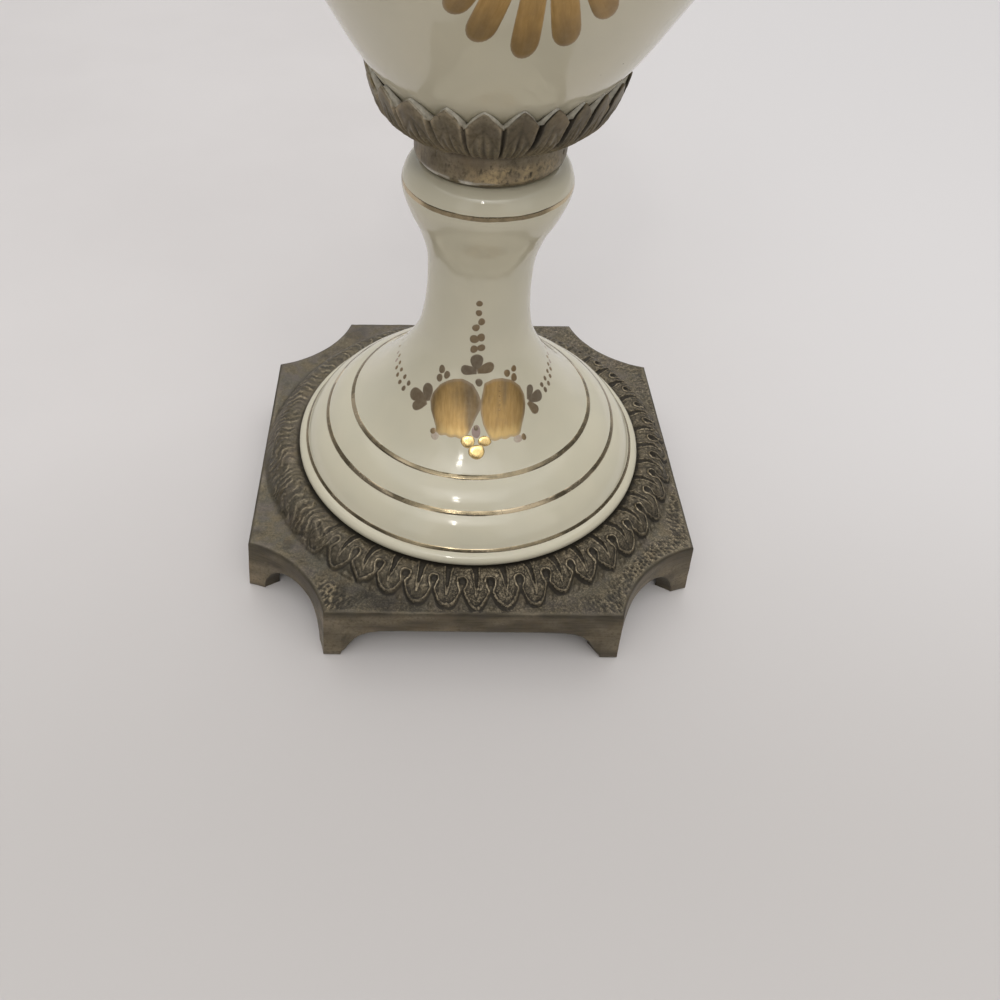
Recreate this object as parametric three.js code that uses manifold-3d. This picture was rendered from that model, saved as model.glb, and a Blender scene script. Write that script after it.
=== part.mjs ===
// Mantel urn: porcelain urn in cast bronze mounts. Millimetres, +Z up, front faces -Y.
// Origin: on the standing surface, on the urn's axis.
import * as THREE from 'three';
import { mergeVertices } from 'three/addons/utils/BufferGeometryUtils.js';
import Module from 'manifold-3d';

const wasm = await Module();
wasm.setup();

// ---- driving dimensions -------------------------------------------------
const GAP = 0.3;                 // gap left between touching pieces
const SEG = 40;                  // segments round every turned piece

// plinth
const PLINTH_HALF = 60;          // half width of the top
const PLINTH_SIDE = 37.9;        // half length of a straight side at the top
const PLINTH_H = 17.5;           // height of the flat top
const PLINTH_SPLAY = 2.2;        // how far each side leans out at the feet
const CORNER_SAG = 4.1;          // depth of the scooped corner at the top
const CORNER_SPLAY = 1.79;       // how far the scooped face leans out at the feet
const WALL = 3.4;                // casting wall
const RECESS_Z = 13;             // ceiling of the open underside
const DOME_RECESS_R = 45;        // round hollow under the raised seat
const DOME_RECESS_Z = 18;
const SIDE_ARCH = [[33.4, -1], [33.3, 1.2], [32.4, 2.3], [31.0, 5.0], [29.9, 6.7], [28.5, 8.1], [26.4, 9.1], [23.5, 9.7], [18, 9.9]];
const CORNER_ARCH = [[11.3, -1], [11.3, 1.8], [10.6, 4.2], [9.3, 6.8], [7.4, 8.8], [4.8, 10.0], [2, 10.4]];
const SEAT_Z = 21.9;             // bronze seat the porcelain foot stands on
// leaf band: radius, height, from the seat out to the flat
const BAND = [[48.6, 21.9], [49.6, 22.5], [51.6, 23.1], [53.9, 22.9], [56.2, 21.5], [57.9, 19.6], [59.0, 17.4]];

// pedestal
const FOOT_R = 48.9;
const RING1 = [46.4, 25.6];      // the three gold lines, radius and height
const RING2 = [40.0, 32.8];
const RING3 = [32.7, 38.1];
const STEM = [[29.4, 41.0], [25.1, 45.0], [18.6, 52.8], [14.7, 60.0], [13.0, 69.0], [12.6, 75.0], [12.9, 81.6], [14.7, 87.6], [17.3, 93.0], [18.75, 97.8], [17.4, 102.0], [15.2, 103.4]];
const PEDESTAL_WALL = 4;

// leaf cup
const CUP_Z = 103.7;             // underside of the collar
const COLLAR_R = 16;
const CUP_RIM_Z = 122.3;         // leaf tips
const CUP_NOTCH = 2.9;           // depth of the notches between tips
const LEAVES = 24;

// body
const BODY_Z = 111.5;
const BODY = [[13.5, 111.5], [18.3, 114.0], [23.4, 120.0], [28.1, 126.0], [32.0, 132.0], [39.1, 144.0], [45.1, 159.0], [50.3, 177.0], [52.0, 193.0], [50.6, 207.0], [45.6, 221.0], [37.6, 233.0], [31.4, 241.0], [29.2, 246.5], [29.4, 252.0]];
const BODY_WALL = 3.8;

// top mounts
const MOUTH_Z = BODY[BODY.length - 1][1];
const RING_H = 7.7;
const LID_Z = MOUTH_Z + GAP + RING_H + GAP;
const FINIAL_Z = LID_Z + 23.7;

// ---- helpers ------------------------------------------------------------
const bronze = new THREE.MeshStandardMaterial({ color: 0x5d5345, metalness: 0.9, roughness: 0.5 });
const porcelain = new THREE.MeshStandardMaterial({ color: 0xd8d2b8, metalness: 0, roughness: 0.15 });
const mat = (m) => m.clone();

// turned solid from a closed [radius, height] outline
function turned(points, seg = SEG) {
  const g = new THREE.LatheGeometry(points.map(([r, z]) => new THREE.Vector2(Math.max(r, 0), z)), seg);
  g.rotateX(Math.PI / 2);
  return g;
}
function toManifold(g) {
  g = g.clone();
  g.deleteAttribute('normal');
  g.deleteAttribute('uv');
  g = mergeVertices(g, 1e-4);
  const idx = [];
  const a = g.index.array;
  for (let i = 0; i < a.length; i += 3) {
    if (a[i] !== a[i + 1] && a[i + 1] !== a[i + 2] && a[i] !== a[i + 2]) idx.push(a[i], a[i + 1], a[i + 2]);
  }
  let m = new wasm.Manifold(new wasm.Mesh({ numProp: 3, vertProperties: new Float32Array(g.attributes.position.array), triVerts: new Uint32Array(idx) }));
  if (m.volume() < 0) {
    for (let i = 0; i < idx.length; i += 3) [idx[i], idx[i + 1]] = [idx[i + 1], idx[i]];
    m = new wasm.Manifold(new wasm.Mesh({ numProp: 3, vertProperties: new Float32Array(g.attributes.position.array), triVerts: new Uint32Array(idx) }));
  }
  return m;
}
function fromManifold(m) {
  const mesh = m.getMesh();
  const n = mesh.numProp;
  const pos = new Float32Array((mesh.vertProperties.length / n) * 3);
  for (let i = 0; i < pos.length / 3; i++) for (let k = 0; k < 3; k++) pos[i * 3 + k] = mesh.vertProperties[i * n + k];
  const g = new THREE.BufferGeometry();
  g.setAttribute('position', new THREE.BufferAttribute(pos, 3));
  g.setIndex(Array.from(mesh.triVerts));
  g.computeVertexNormals();
  return g;
}
function piece(name, m, material) {
  const mesh = new THREE.Mesh(fromManifold(m), mat(material));
  mesh.name = name;
  return mesh;
}
// inner wall of a turned outline, set in by t along the local normal
function insetProfile(pts, t) {
  return pts.map((p, i) => {
    const a = pts[Math.max(i - 1, 0)];
    const b = pts[Math.min(i + 1, pts.length - 1)];
    const dr = b[0] - a[0];
    const dz = b[1] - a[1];
    const l = Math.hypot(dr, dz);
    return [p[0] - (t * dz) / l, p[1] + (t * dr) / l];
  });
}
// convex curve from a to b, bulging outward by h
function bulge(a, b, h, n) {
  const l = Math.hypot(b[0] - a[0], b[1] - a[1]);
  const nx = (b[1] - a[1]) / l;
  const nz = -(b[0] - a[0]) / l;
  const out = [];
  for (let i = 1; i <= n; i++) {
    const t = i / (n + 1);
    const k = 4 * t * (1 - t) * h;
    out.push([a[0] + (b[0] - a[0]) * t + nx * k, a[1] + (b[1] - a[1]) * t + nz * k]);
  }
  return out;
}

const urn = new THREE.Group();
urn.name = 'mantel_urn';

// ---- base_plinth --------------------------------------------------------
{
  const splayedBox = new THREE.CylinderGeometry(PLINTH_HALF * Math.SQRT2, (PLINTH_HALF + PLINTH_SPLAY) * Math.SQRT2, PLINTH_H, 4, 1);
  splayedBox.rotateY(Math.PI / 4);
  splayedBox.rotateX(Math.PI / 2);
  splayedBox.translate(0, 0, PLINTH_H / 2);
  let plinth = toManifold(splayedBox);

  const half = (PLINTH_HALF - PLINTH_SIDE) / Math.SQRT2;
  const scoopR = (half * half + CORNER_SAG * CORNER_SAG) / (2 * CORNER_SAG);
  const scoopD = (PLINTH_HALF + PLINTH_SIDE) / Math.SQRT2 - CORNER_SAG + scoopR;
  const scoopXY = scoopD / Math.SQRT2;
  const cornerTools = (grow, z0, z1) => {
    const slope = CORNER_SPLAY / PLINTH_H;
    const tools = [];
    for (const sx of [-1, 1]) {
      for (const sy of [-1, 1]) {
        const rAt = (z) => scoopR + grow - slope * (PLINTH_H - z);
        const c = new THREE.CylinderGeometry(rAt(z1), rAt(z0), z1 - z0, 60, 1);
        c.rotateX(Math.PI / 2);
        c.rotateZ(Math.atan2(sy, sx) + Math.PI / 60);
        c.translate(sx * scoopXY, sy * scoopXY, (z0 + z1) / 2);
        tools.push(toManifold(c));
      }
    }
    return wasm.Manifold.union(tools);
  };
  plinth = plinth.subtract(cornerTools(0, -2, PLINTH_H + 2));

  const boss = toManifold(turned([[0, PLINTH_H - 2], [BAND[BAND.length - 1][0], PLINTH_H - 2], ...[...BAND].reverse(), [0, SEAT_Z]]));
  plinth = plinth.add(boss);

  const innerHalf = PLINTH_HALF - WALL + 0.8;
  let recess = wasm.Manifold.cube([2 * innerHalf, 2 * innerHalf, RECESS_Z + 2], true).translate([0, 0, (RECESS_Z - 2) / 2]);
  recess = recess.subtract(cornerTools(WALL, -4, RECESS_Z + 2));
  const round = toManifold(turned([[0, RECESS_Z - 1], [DOME_RECESS_R + 2, RECESS_Z - 1], [DOME_RECESS_R + 2, RECESS_Z], [DOME_RECESS_R, DOME_RECESS_Z], [0, DOME_RECESS_Z]], 48));
  plinth = plinth.subtract(recess).subtract(round);

  const archTool = (outline, length, angle) => {
    const s = new THREE.Shape();
    outline.forEach(([x, z], i) => (i ? s.lineTo(x, z) : s.moveTo(x, z)));
    [...outline].reverse().forEach(([x, z]) => s.lineTo(-x, z));
    s.closePath();
    const g = new THREE.ExtrudeGeometry(s, { depth: length, bevelEnabled: false, steps: 1 });
    g.translate(0, 0, -length / 2);
    g.rotateX(Math.PI / 2);
    g.rotateZ(angle);
    return toManifold(g);
  };
  for (const a of [0, Math.PI / 2]) plinth = plinth.subtract(archTool(SIDE_ARCH, 160, a));
  for (const a of [Math.PI / 4, -Math.PI / 4]) plinth = plinth.subtract(archTool(CORNER_ARCH, 180, a));
  urn.add(piece('base_plinth', plinth, bronze));
}

// ---- pedestal -----------------------------------------------------------
{
  const z0 = SEAT_Z + GAP;
  const foot = [[FOOT_R - 1.0, z0], [FOOT_R, z0 + 1.0], [FOOT_R - 0.5, z0 + 2.3], RING1];
  const outer = [...foot, ...bulge(RING1, RING2, 0.8, 2), RING2, ...bulge(RING2, RING3, 0.7, 2), RING3, ...STEM];
  const wallFrom = [RING1, RING2, RING3, STEM[1], STEM[2], STEM[3], STEM[5], STEM[6]];
  const inner = insetProfile(wallFrom, PEDESTAL_WALL).reverse();
  const closed = [[0, z0 + 64], ...inner.filter(([, z]) => z > z0 + 1 && z < z0 + 63), [FOOT_R - 5.2, z0], ...outer, [0, STEM[STEM.length - 1][1]]];
  urn.add(piece('pedestal', toManifold(turned(closed)), porcelain));
}

// ---- leaf_cup -----------------------------------------------------------
{
  // outside, from the collar's underside up to the leaf tips, then down the bowl
  const outside = [[15.0, CUP_Z], [COLLAR_R, CUP_Z + 2.2], [COLLAR_R, CUP_Z + 6.3], [19.6, CUP_Z + 8.4], [23.6, CUP_Z + 12.0], [25.4, CUP_Z + 15.2], [26.2, CUP_RIM_Z]];
  const inside = [[25.55, CUP_RIM_Z], [23.7, BODY_Z + 8.1], [18.9, BODY_Z + 2.2], [13.9, BODY_Z - GAP]];
  const g = turned([[0, CUP_Z], ...outside, ...inside, [0, BODY_Z - GAP]], LEAVES * 2);
  const p = g.attributes.position;
  for (let i = 0; i < p.count; i++) {
    if (Math.abs(p.getZ(i) - CUP_RIM_Z) > 1e-3) continue;
    const k = Math.round((Math.atan2(p.getY(i), p.getX(i)) / (2 * Math.PI)) * LEAVES * 2);
    const r = Math.hypot(p.getX(i), p.getY(i));
    if (((k % 2) + 2) % 2 === 1) {
      const s = (r - 0.75) / r;
      p.setXYZ(i, p.getX(i) * s, p.getY(i) * s, CUP_RIM_Z - CUP_NOTCH);
    }
  }
  const cup = new THREE.Mesh(g, mat(bronze));
  const cupM = toManifold(cup.geometry);
  urn.add(piece('leaf_cup', cupM, bronze));
}

// ---- body ---------------------------------------------------------------
{
  const inner = insetProfile(BODY, BODY_WALL).filter((_, i) => i > 1 && i < BODY.length - 1 && i !== 4 && i !== 6).reverse();
  const floorZ = BODY_Z + 4.5;
  const closed = [[0, BODY_Z], ...BODY, [BODY[BODY.length - 1][0] - BODY_WALL, MOUTH_Z], ...inner.filter(([, z]) => z > floorZ + 1), [11, floorZ], [0, floorZ]];
  urn.add(piece('body', toManifold(turned(closed)), porcelain));
}

// ---- rim_ring -----------------------------------------------------------
{
  const z = MOUTH_Z + GAP;
  const closed = [[25.8, z], [30.0, z], [31.7, z + 1.2], [32.6, z + 3.2], [31.9, z + 5.3], [30.4, z + 6.7], [30.4, z + RING_H], [25.8, z + RING_H], [25.8, z]];
  urn.add(piece('rim_ring', toManifold(turned(closed)), bronze));
}

// ---- lid ----------------------------------------------------------------
{
  const z = LID_Z;
  const outer = [[30.4, z], [31.7, z + 1.2], [31.3, z + 2.8], [29.2, z + 4.4], [26.8, z + 8.4], [22.0, z + 13.4], [15.6, z + 17.6], [9.6, z + 20.2], [7.8, z + 22.2], [7.8, z + 23.4]];
  const inner = [[9.0, z + 16.0], [18.4, z + 10.8], [22.8, z + 4.4], [22.8, z - 4.6], [25.2, z - 4.6], [25.2, z]];
  const closed = [[0, z + 17.4], ...inner, ...outer, [0, z + 23.4]];
  urn.add(piece('lid', toManifold(turned(closed)), porcelain));
}

// ---- finial -------------------------------------------------------------
{
  const z = FINIAL_Z;
  const closed = [[0, z], [8.6, z], [9.2, z + 1.2], [8.2, z + 2.4], [4.2, z + 4.4], [3.6, z + 7.0], [8.2, z + 11.8], [9.8, z + 16.6], [8.6, z + 21.4], [4.6, z + 26.2], [2.2, z + 29.6], [0, z + 31.4]];
  urn.add(piece('finial', toManifold(turned(closed, 24)), bronze));
}

export default urn;
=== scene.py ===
"""Mantel urn: porcelain in cast bronze mounts. Blender 4.5, metres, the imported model's frame."""

import math

import bpy
import numpy as np
from mathutils import Matrix, Vector


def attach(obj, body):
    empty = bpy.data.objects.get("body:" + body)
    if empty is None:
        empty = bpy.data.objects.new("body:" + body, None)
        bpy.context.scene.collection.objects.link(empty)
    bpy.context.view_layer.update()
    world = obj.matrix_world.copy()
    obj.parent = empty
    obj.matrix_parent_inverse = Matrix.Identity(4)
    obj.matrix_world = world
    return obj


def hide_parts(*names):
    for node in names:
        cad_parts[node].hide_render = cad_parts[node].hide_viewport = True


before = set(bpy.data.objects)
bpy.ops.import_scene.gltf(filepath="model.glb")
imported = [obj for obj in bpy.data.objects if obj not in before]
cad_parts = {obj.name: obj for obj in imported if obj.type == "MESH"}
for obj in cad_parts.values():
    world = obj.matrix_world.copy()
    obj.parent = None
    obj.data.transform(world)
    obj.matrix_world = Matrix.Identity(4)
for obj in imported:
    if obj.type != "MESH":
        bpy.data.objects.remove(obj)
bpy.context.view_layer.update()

MM = 0.001
TAU = 2 * math.pi

# ---- sizes in millimetres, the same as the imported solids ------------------
GAP = 0.3
PLINTH_HALF, PLINTH_SIDE, PLINTH_H = 60.0, 37.9, 17.5
PLINTH_SPLAY, SIDE_SPLAY = 2.2, 1.3
CORNER_SAG, CORNER_SPLAY = 4.1, 1.79
RECESS_HALF, RECESS_Z, ROUND_R, ROUND_Z = 57.4, 13.0, 45.0, 18.0
WALL = 3.4
SEAT_R, SEAT_Z = 48.3, 21.9
SIDE_ARCH = [(33.45, 0.0), (33.3, 1.2), (32.4, 2.3), (31.0, 5.0), (29.9, 6.7), (28.5, 8.1), (26.4, 9.1), (23.5, 9.7), (18.0, 9.9), (0.0, 9.9)]
CORNER_ARCH = [(11.35, 0.0), (11.3, 1.8), (10.6, 4.2), (9.3, 6.8), (7.4, 8.8), (4.8, 10.0), (2.0, 10.4), (0.0, 10.45)]
BAND = [(47.8, 21.9), (48.9, 22.2), (50.2, 22.75), (51.6, 23.05), (53.0, 23.05), (54.2, 22.75), (55.6, 21.9), (56.9, 20.75), (58.0, 19.45), (58.9, 18.25), (59.7, 17.6), (61.0, 17.5)]
LOBES, LOBE_EYE0 = 47, -18.56
EYE_R, TIP_R, NECK_R = 53.9, 58.9, 56.1

RING1, RING2, RING3 = (46.4, 25.6), (40.0, 32.8), (32.7, 38.1)
FOOT = [(47.6, 22.2), (48.5, 22.55), (48.9, 23.3), (48.75, 24.3), (48.0, 25.05), (47.0, 25.45)]
STEM = [(29.15, 41.0), (25.1, 45.0), (21.5, 49.0), (18.6, 52.8), (14.7, 60.0), (13.3, 66.0), (12.75, 71.0), (12.6, 75.0), (12.9, 81.6), (14.7, 87.6), (17.3, 93.0), (18.75, 97.8), (18.3, 100.3), (17.0, 102.3), (15.2, 103.4)]

CUP_Z, COLLAR_R, CUP_RIM_Z, CUP_NOTCH, LEAVES = 103.7, 16.0, 122.3, 3.3, 24
BODY = [(13.5, 111.5), (18.3, 114.0), (23.4, 120.0), (28.1, 126.0), (32.0, 132.0), (39.1, 144.0), (45.1, 159.0), (50.3, 177.0), (52.0, 193.0), (50.6, 207.0), (45.6, 221.0), (37.6, 233.0), (31.4, 241.0), (29.2, 246.5), (29.4, 252.0)]
BODY_WALL = 3.8
MOUTH_Z = 252.0
LID_Z, FINIAL_Z = 260.3, 284.0

GOLD_LINE = 0.9


# ---- numbers --------------------------------------------------------------
def lattice(ix, iy, iz, seed):
    """A repeatable number from -1 to 1 for each lattice point."""
    h = (ix * 73856093) ^ (iy * 19349663) ^ (iz * 83492791) ^ (seed * 2654435761)
    h = (h ^ (h >> 13)) * 1274126177
    h = h ^ (h >> 16)
    return (h & 0xFFFF) / 32767.5 - 1.0


def noise(p, scale, seed=0, octaves=1):
    """Smooth value noise at points p (mm), features about scale mm."""
    total, amp, norm = 0.0, 1.0, 0.0
    q = np.asarray(p, float) / scale
    for o in range(octaves):
        i = np.floor(q).astype(np.int64)
        f = q - i
        f = f * f * (3 - 2 * f)
        v = 0.0
        for dx in (0, 1):
            for dy in (0, 1):
                for dz in (0, 1):
                    w = (f[:, 0] if dx else 1 - f[:, 0]) * (f[:, 1] if dy else 1 - f[:, 1]) * (f[:, 2] if dz else 1 - f[:, 2])
                    v = v + w * lattice(i[:, 0] + dx, i[:, 1] + dy, i[:, 2] + dz, seed + o)
        total = total + amp * v
        norm += amp
        amp *= 0.5
        q = q * 2.03 + 7.1
    return total / norm


def smooth(a, b, x):
    t = np.clip((x - a) / (b - a), 0, 1)
    return t * t * (3 - 2 * t)


def curve(points, step=0.25):
    """A smooth line through points, sampled every step mm."""
    P = np.array(points, float)
    P = np.vstack([2 * P[0] - P[1], P, 2 * P[-1] - P[-2]])
    out = []
    for k in range(1, len(P) - 2):
        p0, p1, p2, p3 = P[k - 1], P[k], P[k + 1], P[k + 2]
        t0 = 0.0
        t1 = t0 + np.linalg.norm(p1 - p0) ** 0.5
        t2 = t1 + np.linalg.norm(p2 - p1) ** 0.5
        t3 = t2 + np.linalg.norm(p3 - p2) ** 0.5
        n = max(1, int(math.ceil(np.linalg.norm(p2 - p1) / step)))
        t = np.linspace(t1, t2, n, endpoint=False)[:, None]
        a1 = (t1 - t) / (t1 - t0) * p0 + (t - t0) / (t1 - t0) * p1
        a2 = (t2 - t) / (t2 - t1) * p1 + (t - t1) / (t2 - t1) * p2
        a3 = (t3 - t) / (t3 - t2) * p2 + (t - t2) / (t3 - t2) * p3
        b1 = (t2 - t) / (t2 - t0) * a1 + (t - t0) / (t2 - t0) * a2
        b2 = (t3 - t) / (t3 - t1) * a2 + (t - t1) / (t3 - t1) * a3
        out.append((t2 - t) / (t2 - t1) * b1 + (t - t1) / (t2 - t1) * b2)
    return np.vstack(out + [P[-2][None]])


def bowed(a, b, h, n, power=1.0):
    """A convex line from a to b that stands h proud in the middle, without its last point."""
    a, b = np.array(a, float), np.array(b, float)
    d = b - a
    nrm = np.array([d[1], -d[0]]) / np.linalg.norm(d)
    t = np.linspace(0, 1, n, endpoint=False)[:, None]
    k = (4 * t * (1 - t)) ** power * h
    return a + d * t + nrm * k


class Line:
    """A turned piece's outline, [radius, height] along its length."""

    def __init__(self, pts):
        self.p = np.array(pts, float)
        self.s = np.r_[0, np.cumsum(np.linalg.norm(np.diff(self.p, axis=0), axis=1))]

    def at(self, s):
        return np.interp(s, self.s, self.p[:, 0]), np.interp(s, self.s, self.p[:, 1])

    def s_at_z(self, z, lo=0.0):
        k = np.where(self.s >= lo)[0]
        return float(np.interp(z, self.p[k, 1], self.s[k]))

    def normal(self, s, e=0.15):
        r0, z0 = self.at(s - e)
        r1, z1 = self.at(s + e)
        dr, dz = r1 - r0, z1 - z0
        n = np.hypot(dr, dz) + 1e-9
        return dz / n, -dr / n


# ---- mesh building --------------------------------------------------------
class Build:
    """Collects vertices (mm), faces, material numbers and point attributes."""

    def __init__(self):
        self.v, self.f, self.m, self.attr, self.n = [], [], [], {}, 0

    def add(self, v, faces, mat=0, **attrs):
        v = np.asarray(v, float).reshape(-1, 3)
        for arr, m in faces if isinstance(faces, list) else [(faces, mat)]:
            arr = np.asarray(arr, np.int64)
            if len(arr):
                self.f.append(arr + self.n)
                self.m.append(np.full(len(arr), m, np.int32) if np.isscalar(m) else np.asarray(m, np.int32))
        for k in set(self.attr) | set(attrs):
            have = self.attr.setdefault(k, [np.zeros(self.n)] if self.n else [])
            have.append(np.broadcast_to(np.asarray(attrs.get(k, 0.0), float), (len(v),)).copy())
        self.v.append(v)
        self.n += len(v)

    def object(self, name, mats, smooth_angle=None, body="root"):
        v = np.vstack(self.v) * MM
        me = bpy.data.meshes.new(name)
        total = sum(len(a) for a in self.f)
        loops = np.concatenate([a.ravel() for a in self.f])
        sizes = np.concatenate([np.full(len(a), a.shape[1]) for a in self.f])
        me.vertices.add(len(v))
        me.vertices.foreach_set("co", v.ravel())
        me.loops.add(len(loops))
        me.loops.foreach_set("vertex_index", loops)
        me.polygons.add(total)
        me.polygons.foreach_set("loop_start", np.r_[0, np.cumsum(sizes)[:-1]])
        me.polygons.foreach_set("material_index", np.concatenate(self.m))
        me.polygons.foreach_set("use_smooth", np.ones(total, bool))
        for k, parts in self.attr.items():
            a = me.attributes.new(k, "FLOAT", "POINT")
            a.data.foreach_set("value", np.concatenate(parts).astype(np.float32))
        me.update()
        me.validate()
        for m in mats:
            me.materials.append(m)
        ob = bpy.data.objects.new(name, me)
        bpy.context.scene.collection.objects.link(ob)
        if smooth_angle is not None:
            me.set_sharp_from_angle(angle=math.radians(smooth_angle))
        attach(ob, body)
        return ob


def ring_quads(rows, cols):
    """Faces between rows of a grid that closes round its columns."""
    j, i = np.meshgrid(np.arange(rows - 1), np.arange(cols), indexing="ij")
    a = j * cols + i
    b = j * cols + (i + 1) % cols
    return np.stack([a, b, b + cols, a + cols], -1).reshape(-1, 4)


def fan(centre, row, cols, flip=False):
    i = np.arange(cols)
    a, b = row + i, row + (i + 1) % cols
    return np.stack([np.full(cols, centre), b, a] if flip else [np.full(cols, centre), a, b], -1)


def turn(build, line, n, mat=0, first_pole=None, last_pole=None, mats=None, wobble=0.0, seed=0, move=None, **attrs):
    """A turned solid. line runs from the first pole, round the solid, to the last; outside faces have it going up."""
    line = np.asarray(line, float)
    th = np.arange(n) / n * TAU
    r = np.repeat(line[:, 0][:, None], n, 1)
    z = np.repeat(line[:, 1][:, None], n, 1)
    if move is not None:
        r, z = move(r, z, np.repeat(th[None], len(line), 0))
    if wobble:
        q = np.stack([np.cos(th)[None] * 1.0 + 0 * z, np.sin(th)[None] * 1.0 + 0 * z, z / 22.0], -1).reshape(-1, 3)
        r = r + wobble * noise(q, 0.9, seed).reshape(r.shape)
    v = np.stack([r * np.cos(th)[None], r * np.sin(th)[None], z], -1).reshape(-1, 3)
    faces = ring_quads(len(line), n)
    mi = mat if mats is None else np.repeat(np.asarray(mats), n)
    k = len(v)
    out = [(faces, mi)]
    extra = []
    if first_pole is not None:
        extra.append((0, 0, first_pole))
        out.append((fan(k, 0, n, flip=True), mat))
        k += 1
    if last_pole is not None:
        extra.append((0, 0, last_pole))
        out.append((fan(k, (len(line) - 1) * n, n), mat))
    if extra:
        v = np.vstack([v, np.array(extra, float)])
    if first_pole is None and last_pole is None:
        j = np.arange(n)
        a = (len(line) - 1) * n + j
        b = (len(line) - 1) * n + (j + 1) % n
        out.append((np.stack([a, b, (j + 1) % n, j], -1), mat))
    full = {kk: (np.r_[np.repeat(np.asarray(vv, float), n), np.zeros(len(v) - len(line) * n)] if np.ndim(vv) == 1 and len(vv) == len(line) else vv) for kk, vv in attrs.items()}
    build.add(v, out, **full)
    return v


# ---- materials ------------------------------------------------------------
class Nodes:
    def __init__(self, name):
        self.mat = bpy.data.materials.new(name)
        self.mat.use_nodes = True
        self.t = self.mat.node_tree
        self.t.nodes.clear()
        self.out = self.t.nodes.new("ShaderNodeOutputMaterial")
        self.bsdf = self.t.nodes.new("ShaderNodeBsdfPrincipled")
        self.t.links.new(self.bsdf.outputs[0], self.out.inputs[0])
        tc = self.t.nodes.new("ShaderNodeTexCoord")
        mp = self.t.nodes.new("ShaderNodeMapping")
        mp.inputs["Scale"].default_value = (1000, 1000, 1000)  # millimetres
        self.t.links.new(tc.outputs["Object"], mp.inputs[0])
        self.mm = mp.outputs[0]

    def link(self, a, b):
        self.t.links.new(a, b)

    def stretched(self, sx, sy, sz):
        mp = self.t.nodes.new("ShaderNodeMapping")
        mp.inputs["Scale"].default_value = (sx, sy, sz)
        self.link(self.mm, mp.inputs[0])
        return mp.outputs[0]

    def noise(self, size, detail=3.0, rough=0.55, coord=None, distortion=0.0):
        n = self.t.nodes.new("ShaderNodeTexNoise")
        n.inputs["Scale"].default_value = 1.0 / size
        n.inputs["Detail"].default_value = detail
        n.inputs["Roughness"].default_value = rough
        n.inputs["Distortion"].default_value = distortion
        self.link(coord or self.mm, n.inputs["Vector"])
        return n.outputs["Fac"]

    def voronoi(self, size, feature="F1", coord=None, randomness=1.0):
        n = self.t.nodes.new("ShaderNodeTexVoronoi")
        n.feature = feature
        n.inputs["Scale"].default_value = 1.0 / size
        n.inputs["Randomness"].default_value = randomness
        self.link(coord or self.mm, n.inputs["Vector"])
        return n.outputs["Distance"]

    def attr(self, name):
        n = self.t.nodes.new("ShaderNodeAttribute")
        n.attribute_name = name
        return n.outputs["Fac"]

    def span(self, value, a, b, c=0.0, d=1.0, smooth_=True):
        n = self.t.nodes.new("ShaderNodeMapRange")
        n.interpolation_type = "SMOOTHSTEP" if smooth_ else "LINEAR"
        n.inputs["From Min"].default_value = a
        n.inputs["From Max"].default_value = b
        n.inputs["To Min"].default_value = c
        n.inputs["To Max"].default_value = d
        self.link(value, n.inputs["Value"])
        return n.outputs["Result"]

    def math(self, op, a, b=None, clamp=False):
        n = self.t.nodes.new("ShaderNodeMath")
        n.operation = op
        n.use_clamp = clamp
        for k, x in enumerate((a, b)):
            if x is None:
                continue
            if isinstance(x, (int, float)):
                n.inputs[k].default_value = x
            else:
                self.link(x, n.inputs[k])
        return n.outputs[0]

    def mix(self, fac, a, b):
        n = self.t.nodes.new("ShaderNodeMix")
        n.data_type = "RGBA"
        ins = [s for s in n.inputs if s.enabled]
        for s, x in zip(ins, (fac, a, b)):
            if isinstance(x, (tuple, list)):
                s.default_value = (*x, 1.0) if len(x) == 3 else x
            elif isinstance(x, (int, float)):
                s.default_value = x
            else:
                self.link(x, s)
        return [o for o in n.outputs if o.enabled][0]

    def bump(self, height, strength, distance_mm, normal=None):
        n = self.t.nodes.new("ShaderNodeBump")
        n.inputs["Strength"].default_value = strength
        n.inputs["Distance"].default_value = distance_mm * MM
        self.link(height, n.inputs["Height"])
        if normal is not None:
            self.link(normal, n.inputs["Normal"])
        return n.outputs[0]

    def set(self, **kw):
        for k, v in kw.items():
            s = self.bsdf.inputs[k.replace("_", " ")]
            if isinstance(v, (tuple, list)):
                s.default_value = (*v, 1.0) if len(v) == 3 else v
            elif isinstance(v, (int, float)):
                s.default_value = v
            else:
                self.link(v, s)
        return self.mat


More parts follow.
